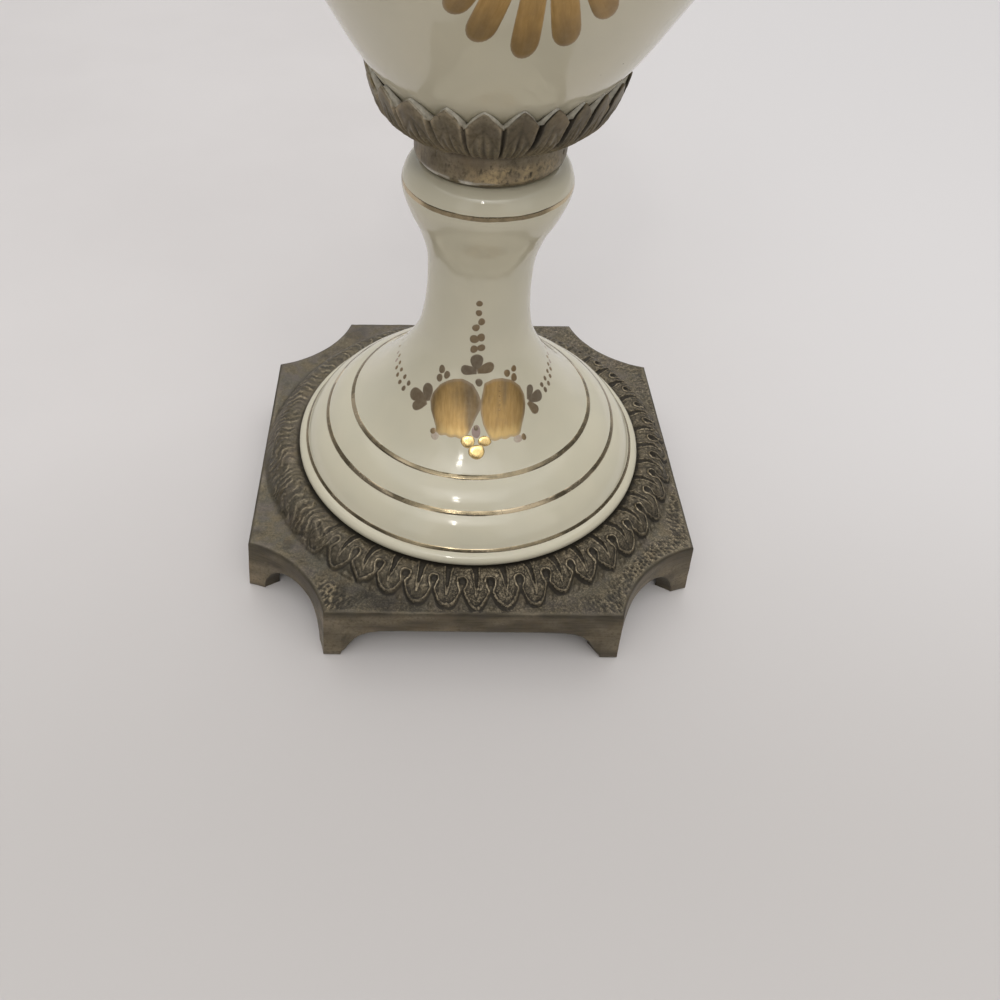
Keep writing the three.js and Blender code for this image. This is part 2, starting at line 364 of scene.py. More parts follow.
def bronze(name):
    """Old cast bronze: olive brown, greenish patina on the flats, brassy where it is rubbed, dark in the hollows;
    painted shade darkens the grooves, seams, side faces and edges turned from the light, and painted highlights
    brighten the raised lines.
    """
    n = Nodes(name)
    wear, grime, film, side, brass, filler = (n.attr(a) for a in ("wear", "grime", "film", "side", "brass", "filler"))
    along = n.stretched(0.16, 0.16, 2.2)
    lines = n.noise(1.0, 4, 0.62, coord=along)
    grain = n.noise(0.7, 4, 0.6)
    mottle = n.math("ADD", n.math("MULTIPLY", n.math("SUBTRACT", 1.0, side), grain), n.math("MULTIPLY", side, lines))
    clouds = n.noise(7.0, 4, 0.6)
    dark, mid, warm = (0.100, 0.083, 0.054), (0.190, 0.160, 0.108), (0.215, 0.165, 0.104)
    col = n.mix(n.span(mottle, 0.30, 0.72), dark, mid)
    col = n.mix(n.math("MULTIPLY", n.span(clouds, 0.48, 0.72), 0.55), col, warm)
    # patina veil; on the worn left it also stands in for a painted grey sheen
    veil = n.math("MULTIPLY", film, n.span(n.noise(4.0, 4, 0.62), 0.34, 0.66))
    tint = n.mix(n.span(n.noise(8.0, 3, 0.6), 0.40, 0.60), (0.112, 0.111, 0.090), (0.136, 0.117, 0.102))
    col = n.mix(n.math("MULTIPLY", veil, 0.86), col, tint)
    # painted shade: the side faces are drawn darker than the tops
    col = n.mix(n.math("MULTIPLY", side, 0.16), col, (0.03, 0.025, 0.018))
    rub_and_highlight = n.math("MULTIPLY", wear, n.span(n.noise(0.9, 3, 0.7), 0.22, 0.58))
    # cast lines: crisp is where they are, edge how far from one (mm, + on the leaf), hatch the rough ground of the
    # leaves, and the fourth marks the leaf edges that turn from the light, for painted shade
    crisp, edge, hatch, lee = n.attr("crisp"), n.attr("edge"), n.attr("hatch"), n.attr("lee")
    edge = n.math("ADD", edge, n.math("MULTIPLY", n.math("SUBTRACT", n.noise(0.9, 3, 0.7), 0.5), 0.66))
    from_line = n.math("ABSOLUTE", n.math("SUBTRACT", edge, 0.05))
    # thread: a painted highlight along each raised cast line, dimmer on the edges turned from the light
    thread = n.math("MULTIPLY", n.math("MULTIPLY", n.span(from_line, 0.05, 0.25, 1.0, 0.0), crisp), n.span(lee, 0.0, 1.0, 1.0, 0.55))
    # painted shade: a dark gully just outside each raised line, deepest on edges turned from the light, and a fainter
    # one within it
    outside = n.math("MULTIPLY", n.math("MULTIPLY", n.span(edge, -0.74, -0.50), n.span(edge, -0.06, -0.20)), n.span(lee, 0.0, 1.0, 0.35, 1.15))
    within = n.math("MULTIPLY", n.span(edge, 0.20, 0.30), n.span(edge, 0.58, 0.42))
    gully = n.math("MULTIPLY", n.math("ADD", outside, n.math("MULTIPLY", within, 0.55)), crisp)
    worn = n.math("MULTIPLY", n.attr("worn"), n.span(n.noise(2.6, 3, 0.6), 0.42, 0.58, 0.05, 1.0))
    # slanting strokes of the worn side: painted highlight on their crests, painted shade in their troughs
    turns = n.math("ADD", n.attr("phase"), n.math("MULTIPLY", n.noise(2.2, 3, 0.6), 1.50))
    swing = n.math("SINE", n.math("MULTIPLY", turns, TAU))
    crest = n.math("MULTIPLY", worn, n.span(swing, 0.45, 1.0))
    trough = n.math("MULTIPLY", worn, n.span(swing, 0.15, -0.75))
    # hatched ground: raised specks drawn lighter and pits darker, partly rubbing and dirt, partly painted light and
    # shade
    fine = n.noise(0.42, 3, 0.7)
    scales = n.math("MULTIPLY", hatch, n.span(fine, 0.50, 0.62))
    holes = n.math("MULTIPLY", hatch, n.span(fine, 0.50, 0.38))
    # painted highlight on the raised lines, added with the stroke crests and raised specks to the rubbed brass colour
    line_highlight = n.math("MULTIPLY", thread, n.span(n.noise(1.3, 3, 0.65), 0.38, 0.60, 0.04, 1.0))
    rub_and_highlight = n.math("ADD", rub_and_highlight, n.math("ADD", n.math("MULTIPLY", n.math("ADD", line_highlight, n.math("MULTIPLY", crest, 0.42)), 0.95), n.math("MULTIPLY", scales, 0.66)), clamp=True)
    grime = n.math("ADD", grime, n.math("ADD", n.math("MULTIPLY", n.math("ADD", gully, n.math("MULTIPLY", trough, 0.45)), 0.95), n.math("MULTIPLY", holes, 0.80)), clamp=True)
    col = n.mix(n.math("MULTIPLY", rub_and_highlight, 0.92, clamp=True), col, (0.60, 0.50, 0.34))
    col = n.mix(n.math("MULTIPLY", brass, n.span(n.noise(0.9, 3, 0.7), 0.30, 0.60)), col, (0.66, 0.51, 0.28))
    # dirt in the hollows and painted shade in grooves, seams and turned-away edges both go near black
    col = n.mix(n.math("MULTIPLY", grime, 0.90), col, (0.026, 0.022, 0.016))
    col = n.mix(filler, col, n.mix(n.span(n.noise(1.0, 3), 0.35, 0.65), (0.62, 0.59, 0.52), (0.80, 0.77, 0.69)))
    dull = n.math("ADD", n.math("MULTIPLY", grime, 0.16), n.math("MULTIPLY", veil, 0.10))
    rough = n.math("ADD", n.span(mottle, 0.25, 0.75, 0.36, 0.52), dull)
    metal = n.math("SUBTRACT", 0.92, n.math("ADD", n.math("MULTIPLY", veil, 0.40), n.math("MULTIPLY", n.math("MAXIMUM", n.math("MULTIPLY", grime, 0.50), filler), 0.80)), clamp=True)
    nrm = n.bump(mottle, 0.40, 0.16)
    nrm = n.bump(n.noise(0.22, 2, 0.6), 0.16, 0.10, nrm)
    relief = n.math("ADD", n.math("ADD", n.math("SUBTRACT", thread, gully), n.math("SUBTRACT", crest, trough)), n.math("MULTIPLY", n.math("SUBTRACT", scales, holes), 0.6))
    nrm = n.bump(relief, 0.60, 0.16, nrm)
    return n.set(Base_Color=col, Metallic=metal, Roughness=rough, Normal=nrm, IOR=1.5)


def porcelain(name):
    n = Nodes(name)
    cloud = n.noise(14.0, 2, 0.5)
    tone = n.mix(n.span(cloud, 0.3, 0.7), (0.672, 0.624, 0.474), (0.638, 0.598, 0.458))
    pits = n.voronoi(5.2)
    speck = n.math("MULTIPLY", n.span(pits, 0.020, 0.034, 1.0, 0.0), n.span(n.noise(9.0, 1), 0.62, 0.66))
    col = n.mix(speck, tone, (0.16, 0.13, 0.09))
    ripple = n.noise(6.5, 1, 0.4)
    nrm = n.bump(ripple, 0.10, 0.5)
    rough = n.span(n.noise(20.0, 2), 0.3, 0.7, 0.055, 0.10)
    return n.set(Base_Color=col, Roughness=rough, Normal=nrm, IOR=1.52, Subsurface_Weight=0.0)


def biscuit(name):
    """Unglazed, dusty inside of the porcelain."""
    n = Nodes(name)
    col = n.mix(n.span(n.noise(5.0, 4), 0.35, 0.7), (0.60, 0.565, 0.45), (0.50, 0.46, 0.36))
    nrm = n.bump(n.noise(0.6, 3), 0.3, 0.15)
    return n.set(Base_Color=col, Roughness=n.span(n.noise(2.0, 3), 0.3, 0.7, 0.5, 0.7), Normal=nrm)


def gilt(name, brushed=True):
    """Fired gold. brushed takes the brush marks along each painted shape, else round the ring lines."""
    n = Nodes(name)
    if brushed:
        edge, tone = n.attr("edge"), n.attr("tone")
        comb = n.t.nodes.new("ShaderNodeCombineXYZ")
        n.link(n.attr("across"), comb.inputs[0])
        n.link(n.math("MULTIPLY", n.attr("up"), 0.16), comb.inputs[1])
        strokes = n.noise(0.62, 3, 0.6, coord=comb.outputs[0])
        shine = n.attr("shine")
        col = n.mix(n.span(strokes, 0.25, 0.78), (0.455, 0.288, 0.112), (0.575, 0.378, 0.155))
        col = n.mix(n.math("MULTIPLY", n.span(n.noise(1.9, 3, 0.6), 0.50, 0.72), 0.35), col, (0.43, 0.285, 0.138))
        # burnished gold, partly a painted highlight: brighter and yellower where set
        col = n.mix(shine, col, (0.95, 0.69, 0.30))
        col = n.mix(tone, col, n.mix(n.span(n.noise(1.2, 3), 0.35, 0.65), (0.165, 0.128, 0.088), (0.200, 0.165, 0.115)))
        thin = n.span(edge, 0.0, 0.14, 1.0, 0.0)
        col = n.mix(n.math("MULTIPLY", thin, 0.50), col, (0.40, 0.33, 0.25))
        rough = n.math("MULTIPLY", n.span(strokes, 0.25, 0.75, 0.34, 0.44), n.span(shine, 0.0, 1.0, 1.0, 0.62))
        metal = n.math("MULTIPLY", n.span(thin, 0.0, 1.0, 1.0, 0.6), n.span(tone, 0.35, 1.0, 1.0, 0.35))
        nrm = n.bump(strokes, 0.16, 0.08)
    else:
        worn = n.noise(3.5, 4, 0.65)
        col = n.mix(n.span(worn, 0.35, 0.65), (0.23, 0.190, 0.122), (0.34, 0.275, 0.172))
        col = n.mix(n.span(n.noise(17.0, 2, 0.5), 0.54, 0.62), col, (0.56, 0.46, 0.31))
        col = n.mix(n.span(n.noise(1.1, 4, 0.7), 0.60, 0.70), col, (0.21, 0.17, 0.115))
        rough = n.span(n.noise(0.8, 3), 0.3, 0.7, 0.16, 0.28)
        metal = n.span(n.noise(2.2, 4, 0.7), 0.28, 0.36, 0.7, 1.0)
        nrm = n.bump(n.noise(0.5, 3), 0.25, 0.05)
    return n.set(Base_Color=col, Metallic=metal, Roughness=rough, Normal=nrm)


def rubbed(name):
    """Where gold has worn to a thin lilac film."""
    n = Nodes(name)
    col = n.mix(n.span(n.noise(0.8, 3), 0.35, 0.65), (0.53, 0.43, 0.33), (0.61, 0.54, 0.41))
    col = n.mix(n.attr("tone"), col, (0.36, 0.265, 0.235))
    return n.set(Base_Color=col, Metallic=0.1, Roughness=n.span(n.noise(0.7, 2), 0.3, 0.7, 0.14, 0.26))


BRONZE, PORCELAIN, BISCUIT, GILT, RUBBED = bronze("bronze"), porcelain("porcelain"), biscuit("biscuit"), gilt("gilding"), rubbed("worn_gilding")
GILT_LINE = gilt("gilt_lines", brushed=False)


# ---- gilding laid on a turned surface -------------------------------------
class Skin:
    """Places flat shapes, in mm round (u) and up (v) from a middle, on a turned outside. axis is the painted front's turn, degrees."""

    def __init__(self, line, s0, axis):
        self.line, self.s0, self.axis = line, s0, math.radians(axis)

    def at(self, degrees, z):
        """The same surface seen from another middle, at an angle from the front and a height."""
        return Skin(self.line, self.line.s_at_z(z, self.s0 - 30.0), degrees)

    def place(self, u, v, lift, about=None):
        s = self.s0 + v
        r, z = self.line.at(s)
        nr, nz = self.line.normal(s)
        if about is None:
            th = self.axis + u / r
        else:
            th = self.axis + about[0] / self.line.at(self.s0 + about[1])[0] + (u - about[0]) / r
        rr, zz = r + nr * lift, z + nz * lift
        return np.stack([rr * np.sin(th), -rr * np.cos(th), zz], -1)


def lay(build, skin, outline, centre, thick=0.07, rings=5, mat=1, tone=0.0, tone_fn=None, sink=0.06, about=None, turn_=0.0, shine=0.0):
    """A thin closed tile with this outline (n by 2, counter-clockwise, round centre) laid on the skin, following it above and below."""
    o = np.asarray(outline, float)
    c = np.asarray(centre, float)
    n = len(o)
    size = 0.5 * min(np.ptp(o[:, 0]), np.ptp(o[:, 1]))
    if size < 1.1:
        rings = min(rings, 4)
    ts = 1 - (1 - np.linspace(0, 1, rings + 1)[1:]) ** 1.6
    uv = np.vstack([c[None]] + [c + (o - c) * t for t in ts])
    lift = np.r_[thick + 0.012, np.repeat([thick * (1 - t ** 6) + 0.012 for t in ts], n)]
    edge = np.r_[1.0, np.repeat(1 - ts, n)]
    # a small dab has a flat underside, a wide one is ringed below as it is above
    low = uv if size > 1.2 else np.vstack([c[None], o])
    P = skin.place(uv[:, 0], uv[:, 1], lift, about)
    Q = skin.place(low[:, 0], low[:, 1], -sink, about)
    k = len(P)
    i, j = np.arange(n), (np.arange(n) + 1) % n
    faces = [(np.stack([np.zeros(n, int), 1 + i, 1 + j], -1), mat), (np.stack([np.full(n, k), k + 1 + j, k + 1 + i], -1), mat)]
    for r in range(rings - 1):
        a, b = 1 + r * n + i, 1 + r * n + j
        faces.append((np.stack([a, a + n, b + n, b], -1), mat))
        if low is uv:
            faces.append((np.stack([b, b + n, a + n, a], -1) + k, mat))
    a, b = 1 + (rings - 1) * n + i, 1 + (rings - 1) * n + j
    m = k + len(Q) - n
    faces.append((np.stack([a, m + i, m + j, b], -1), mat))
    tones = np.full(len(uv), tone) if tone_fn is None else tone_fn(uv)
    both = np.vstack([uv, low])
    ca, sa = math.cos(math.radians(turn_)), math.sin(math.radians(turn_))
    across, up = ca * both[:, 0] + sa * both[:, 1], -sa * both[:, 0] + ca * both[:, 1]
    none = np.zeros(len(Q))
    build.add(np.vstack([P, Q]), faces, edge=np.r_[edge * min(1.0, size / 1.2), none], tone=np.r_[tones, none + tone], across=across + 40, up=up + 40, shine=np.r_[shine(uv) if callable(shine) else np.full(k, shine), none])


def oval(u, v, a, b=None, turn_=0.0, n=26, wob=0.05, seed=1):
    """A hand-painted oval dab."""
    b = a if b is None else b
    t = np.arange(n) / n * TAU
    k = 1 + wob * np.sin(2 * t + seed * 1.7) + 0.6 * wob * np.sin(3 * t + seed * 2.9)
    x, y = a * np.cos(t) * k, b * np.sin(t) * k
    c, s = math.cos(math.radians(turn_)), math.sin(math.radians(turn_))
    return np.stack([u + c * x - s * y, v + s * x + c * y], -1), (u, v)


def dab(build, skin, u, v, a, b=None, turn_=0.0, seed=1, **kw):
    o, c = oval(u, v, a, b, turn_, seed=seed)
    lay(build, skin, o, c, about=c, **kw)


def drop(build, skin, root, end, wide, neck=0.35, seed=1, n=32, **kw):
    """A brush dab pressed down at end and drawn out thin to root, both (u, v)."""
    a, b = np.array(root, float), np.array(end, float)
    d = b - a
    length = np.linalg.norm(d) + wide * 0.5
    d = d / np.linalg.norm(d)
    side = np.array([-d[1], d[0]])
    k = n // 2
    t = 0.5 - 0.5 * np.cos(np.linspace(0, 1, k) * math.pi)
    m = 1 - wide * 0.5 / length
    w = 0.5 * wide * np.where(t < m, neck + (1 - neck) * np.sin(np.clip(t / m, 0, 1) * math.pi / 2) ** 1.4, np.sqrt(np.clip(1 - ((t - m) / (1 - m)) ** 2, 0, 1)))
    w[0] *= 0.35
    w = w * (1 + 0.05 * np.sin(5 * t + seed))
    mid = a + d * (t * length)[:, None]
    o = np.vstack([mid - side * w[:, None], (mid + side * w[:, None])[::-1][1:]])
    lay(build, skin, o, a + d * length * 0.58, about=(0.0, 0.0), **kw)


def petal(u, v, length, width, turn_, n=44, widest=0.82):
    """A long petal from its root at u, v; turn_ is its lean from straight down, degrees. It widens slowly to widest of the way and ends round."""
    k = n // 2
    t = 0.5 - 0.5 * np.cos(np.linspace(0, 1, k) * math.pi)
    w = 0.5 * width * np.where(t < widest, 0.62 + 0.38 * np.sin(t / widest * math.pi / 2) ** 1.5, np.sqrt(np.clip(1 - (np.maximum(t - widest, 0) / (1 - widest)) ** 2.1, 0, 1)))
    w[0] *= 0.7
    y = -t * length
    side = np.vstack([np.stack([-w, y], -1), np.stack([w, y], -1)[::-1][1:]])
    c, s = math.cos(math.radians(turn_)), math.sin(math.radians(turn_))
    o = np.stack([u + c * side[:, 0] - s * side[:, 1], v + s * side[:, 0] + c * side[:, 1]], -1)
    m = np.array([u + s * length * 0.6, v - c * length * 0.6])
    return o, m


# ---- pedestal -------------------------------------------------------------
def pedestal():
    rims = []  # (row, half width) of each gold line
    foot = curve(FOOT + [RING1], 0.3)[:-1]
    low = bowed(RING1, RING2, 0.85, 24)
    mid = bowed(RING2, RING3, 0.60, 22)
    stem = curve([RING3] + STEM, 0.75)
    outside = np.vstack([foot, low, mid, stem])
    line = Line(outside)
    knob_s = line.s_at_z(98.9)
    s1, s2, s3 = line.s[len(foot)], line.s[len(foot) + len(low)], line.s[len(foot) + len(low) + len(mid)]
    lines = [(s1 + 0.1, 0.56), (s2 + 0.1, 0.64), (s3 + 0.15, 0.64), (knob_s, 0.50)]
    # rows: the outline's own, with a row at each edge of each gold line
    s_rows = [line.s]
    for s, h in lines:
        s_rows[0] = s_rows[0][(s_rows[0] < s - h - 0.08) | (s_rows[0] > s + h + 0.08)]
        s_rows.append([s - h, s - h + 0.10, s - 0.2, s, s + 0.2, s + h - 0.10, s + h])
    s_all = np.unique(np.concatenate([np.asarray(a, float) for a in s_rows]))
    r, z = line.at(s_all)
    lift = np.zeros(len(s_all))
    mats = np.zeros(len(s_all), int)
    edge = np.zeros(len(s_all))
    for s, h in lines:
        band = (s_all >= s - h - 1e-6) & (s_all < s + h - 1e-6)
        mats[band] = 4
    nr, nz = line.normal(s_all)
    out = np.stack([r + nr * lift, z + nz * lift], -1)
    for s, h in lines:
        k = np.where(np.abs(s_all - s) < h + 1e-6)[0]
        t = ((s_all[k] - s_all[k[0]]) / (s_all[k[-1]] - s_all[k[0]]))[:, None]
        flat_ = out[k[0]] * (1 - t) + out[k[-1]] * t
        n0 = np.array([nr[k].mean(), nz[k].mean()])
        out[k[1:-1]] = (flat_ + n0 * 0.045)[1:-1]
    inner = curve([(43.9, 22.2), (42.2, 25.0), (37.6, 30.2), (30.4, 35.0), (21.9, 42.4), (15.3, 50.6), (11.0, 58.4), (8.8, 72.0), (8.9, 82.0), (7.0, 85.4), (3.2, 86.1)], 1.6)[::-1]
    path = np.vstack([inner, out])
    mat_rows = np.r_[np.full(len(inner), 2), mats][:-1]
    n = 264
    b = Build()
    amp = np.r_[np.zeros(len(inner)), np.where(np.abs(s_all[:, None] - np.array([s for s, _ in lines])[None]).min(1) < 0.6, 1.0, 0.0)]

    def hand(rr, zz, th):
        # the brush wavers a little on its way round each gold line
        wave = 0.07 * np.sin(3 * th + zz * 0.7) + 0.05 * np.sin(11 * th + zz) + 0.03 * np.sin(29 * th + 2 * zz)
        return rr, zz + wave * amp[:, None] * 0.6

    turn(b, path, n, mats=mat_rows, first_pole=86.1, last_pole=103.4, wobble=0.05, seed=3, move=hand, edge=np.r_[np.zeros(len(inner)), edge])
    b.attr["tone"] = [np.zeros(b.n)]

    # painted front: dots, trefoils, two blossoms
    sk = Skin(line, line.s_at_z(50.6, s3), 0.5)
    # chain of dots up the stem: pairs that dwindle to single dots
    for k, (u, v, a, c) in enumerate([(-0.75, 26.4, 0.76, 0.80), (-0.69, 23.9, 0.78, 0.80), (0.10, 21.6, 0.86, 0.92), (-1.14, 20.0, 0.90, 0.94), (-1.34, 17.0, 1.12, 1.10), (0.26, 17.5, 0.98, 1.02), (-1.28, 14.4, 0.95, 0.98), (0.45, 14.8, 0.98, 0.92)]):
        dab(b, sk, u, v, a, c, tone=0.80, seed=1 + k)
    # crowning trefoil
    drop(b, sk.at(0.5 - 1.9, 60.4), (0.25, -2.2), (0.05, 0.1), 3.3, neck=0.45, tone=0.97, seed=9)
    drop(b, sk.at(0.5 - 1.9, 60.4), (0.2, -2.3), (-2.6, -2.35), 2.35, neck=0.8, tone=0.97, seed=10)
    drop(b, sk.at(0.5 - 1.9, 60.4), (0.25, -2.4), (3.2, -1.65), 2.6, neck=0.6, tone=0.82, seed=11)
    dab(b, sk, 0.32, 6.1, 0.92, 0.98, tone=0.93, seed=13)
    # three-dot sprays beside it
    for k, (u, v, a, c) in enumerate([(-9.3, 7.7, 0.82, 1.10), (-9.9, 5.5, 0.86, 0.95), (-7.85, 6.8, 0.80, 1.0), (9.6, 7.8, 0.75, 0.85), (7.6, 7.3, 0.85, 0.95), (9.7, 5.7, 0.90, 1.0)]):
        dab(b, sk, u, v, a, c, tone=0.86 if k < 3 else 0.66, seed=20 + k)
    # side trefoils, drawn in to the blossoms
    left, right = sk.at(-41.5, 50.0), sk.at(44.5, 50.0)
    drop(b, left, (2.1, 0.1), (-2.1, -0.4), 3.2, neck=0.35, tone=0.88, seed=30)
    drop(b, left, (2.2, -0.3), (0.75, 2.5), 2.9, neck=0.45, tone=0.92, seed=31)
    drop(b, left, (2.1, -0.6), (-0.1, -2.6), 2.7, neck=0.45, tone=0.88, seed=32)
    drop(b, right, (-1.7, -0.6), (1.75, -0.95), 3.1, neck=0.35, tone=0.95, seed=33)
    drop(b, right, (-1.6, -0.5), (0.15, 1.75), 2.2, neck=0.5, tone=0.95, seed=34)
    drop(b, right, (-2.0, -0.9), (-1.0, -3.4), 2.5, neck=0.5, tone=0.80, seed=35)
    # garlands of dot pairs that go on round the stem and die out
    for side in (-1, 1):
        for k, (far, zf, near, zn) in enumerate([(58.4, 49.0, 57.0, 50.5), (65.0, 49.2, 64.0, 50.75), (71.8, 49.6, 72.0, 50.95), (78.5, 50.0, 79.5, 51.2)]):
            a = 0.70 - 0.045 * k
            dab(b, sk.at(side * far, zf), 0, 0, a, a * 1.05, tone=0.85 - 0.08 * k, seed=40 + k)
            dab(b, sk.at(side * (near + (0.6 if side > 0 else 0)), zn - (0.2 if side > 0 else 0)), 0, 0, a * 0.97, a, tone=0.85 - 0.08 * k, seed=50 + k)
        for k, (deg, z, a) in enumerate([(85.6, 50.4, 0.52), (87.4, 51.4, 0.46), (93.0, 50.9, 0.44), (100.6, 51.0, 0.40), (108.0, 51.2, 0.34), (116.0, 51.3, 0.30)]):
            dab(b, sk.at(side * deg, z), 0, 0, a, a * 1.25, mat=1 if k % 2 else 3, thick=0.03, tone=0.5, seed=60 + k)
        # rubbed gold below each blossom
        dab(b, sk, -10.7 if side < 0 else 11.0, -8.5 if side < 0 else -9.3, 1.15, 1.0, mat=3, thick=0.02, tone=0.25, seed=70 + side)
        dab(b, sk, -11.25 if side < 0 else 12.7, -7.5 if side < 0 else -9.3, 0.72, 0.85, tone=0.7, seed=72 + side)
    dab(b, sk, -0.10, -6.0, 1.05, 1.75, mat=3, thick=0.02, tone=0.85, seed=75)
    dab(b, sk, -0.14, -5.1, 0.62, 0.70, tone=0.9, seed=76, thick=0.10)

    # the two blossoms: how far in and out each reaches at heights from the shoulder down to the frilled foot
    def blossom(side):
        if side < 0:
            inner_u = [(6.70, 3.6), (6.3, 2.4), (5.6, 1.1), (3.5, -0.2), (1.3, -1.15), (-0.7, -0.85), (-2.6, 0.2), (-4.6, 1.05), (-6.4, 1.9), (-7.55, 2.7)]
            outer_u = [(6.70, 4.2), (6.3, 6.0), (5.6, 7.5), (4.05, 9.6), (1.5, 11.6), (-0.6, 12.3), (-2.8, 12.0), (-4.9, 11.05), (-6.4, 10.5), (-7.55, 10.6)]
        else:
            inner_u = [(6.65, 3.8), (5.9, 1.7), (3.5, 1.3), (1.3, 0.9), (-1.2, 0.9), (-4.2, 1.6), (-6.2, 2.5), (-8.1, 3.6)]
            outer_u = [(6.65, 4.6), (6.5, 6.2), (5.3, 9.1), (3.0, 11.7), (0.6, 13.0), (-1.8, 13.4), (-4.0, 13.0), (-6.2, 12.2), (-8.1, 11.7)]
        top, low = inner_u[0][0], inner_u[-1][0]
        vs = top + (low - top) * (0.5 - 0.5 * np.cos(np.linspace(0, 1, 46) * math.pi))
        pick = lambda tab: np.interp(-vs, [-v for v, _ in tab], [u for _, u in tab])
        a, c = pick(inner_u), pick(outer_u)
        # the foot is a frill of small scallops
        bottom = np.linspace(a[-1], c[-1], 18)[1:-1]
        frill = low - 0.10 - 0.42 * np.abs(np.sin((bottom - a[-1]) / (c[-1] - a[-1]) * math.pi * 3.0))
        inner = np.stack([a, vs], -1)
        outer = np.stack([c, vs], -1)[::-1]
        loop = np.vstack([inner, np.stack([bottom, frill], -1), outer[:-1]])
        loop[:, 0] *= side
        if side < 0:
            loop = loop[::-1]
        m = np.array([side * 6.2, -0.9])

        def shade(uv):
            x, v = side * uv[:, 0], uv[:, 1]
            streak = 0.05 * np.sin(uv[:, 0] * 2.7 + 0.5) + 0.03 * np.sin(uv[:, 0] * 6.1 + 1.0 + 0.2 * v)
            if side < 0:  # a red-brown petal turned in towards the middle, and a dark outer rim
                t = 0.66 * smooth(4.9, 2.0, x - 0.12 * v) * smooth(-7.2, -4.2, v)
                t = np.maximum(t, 0.50 * smooth(9.8, 12.0, x + 0.10 * v) * smooth(-7.0, -4.5, v))
                t = np.maximum(t, 0.40 * smooth(3.0, 6.0, v) * smooth(3.5, 6.5, x))
                t = np.maximum(t, 0.34 * np.exp(-(((x - 5.2) / 0.9) ** 2)) * smooth(-4, 1, v))
                t = np.maximum(t, 0.22 * smooth(-4.5, -6.5, v) * smooth(6.0, 9.0, x))
            else:  # two petals with a dark fold between them
                t = 0.50 * np.exp(-(((x - 7.0) / (0.60 + 0.13 * np.clip(v, 0, 7))) ** 2)) * smooth(-3.0, 2.0, v)
                t = np.maximum(t, 0.30 * smooth(11.9, 13.2, x))
                t = np.maximum(t, 0.26 * smooth(2.4, 1.2, x) * smooth(-6, -3, v))
                t = np.maximum(t, 0.20 * np.exp(-(((x - 5.4) / 0.35) ** 2)) * smooth(-4, -1, v))
            return np.clip(t + streak, 0, 1)

        # the frilled foot of each blossom is burnished and painted brighter as a highlight
        lay(b, sk, loop, m, thick=0.09, rings=14, tone_fn=shade, shine=lambda uv: 0.45 * smooth(-4.6, -7.4, uv[:, 1] + 0.5 * np.sin(uv[:, 0] * 3.1)))
        if side > 0:  # a row of raised gold pips down the fold
            for k in range(6):
                dab(b, sk, 5.75 + 0.05 * (k % 2), 4.6 - 1.15 * k, 0.24, 0.30, thick=0.20, seed=77 + k)

    blossom(-1)
    blossom(1)
    # three burnished dots under them, brightened also as a painted highlight
    dab(b, sk, -2.15, -8.55, 1.85, 1.60, 12, seed=80, thick=0.22, rings=7, shine=1.0)
    dab(b, sk, 2.10, -8.45, 1.75, 1.30, -12, seed=81, thick=0.20, rings=7, shine=0.8)
    dab(b, sk, 0.09, -11.1, 2.0, 1.95, 0, seed=82, thick=0.26, rings=7, shine=1.0)

    ob = b.object("urn_pedestal", [PORCELAIN, GILT, BISCUIT, RUBBED, GILT_LINE], smooth_angle=40)
    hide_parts("pedestal")
    return ob


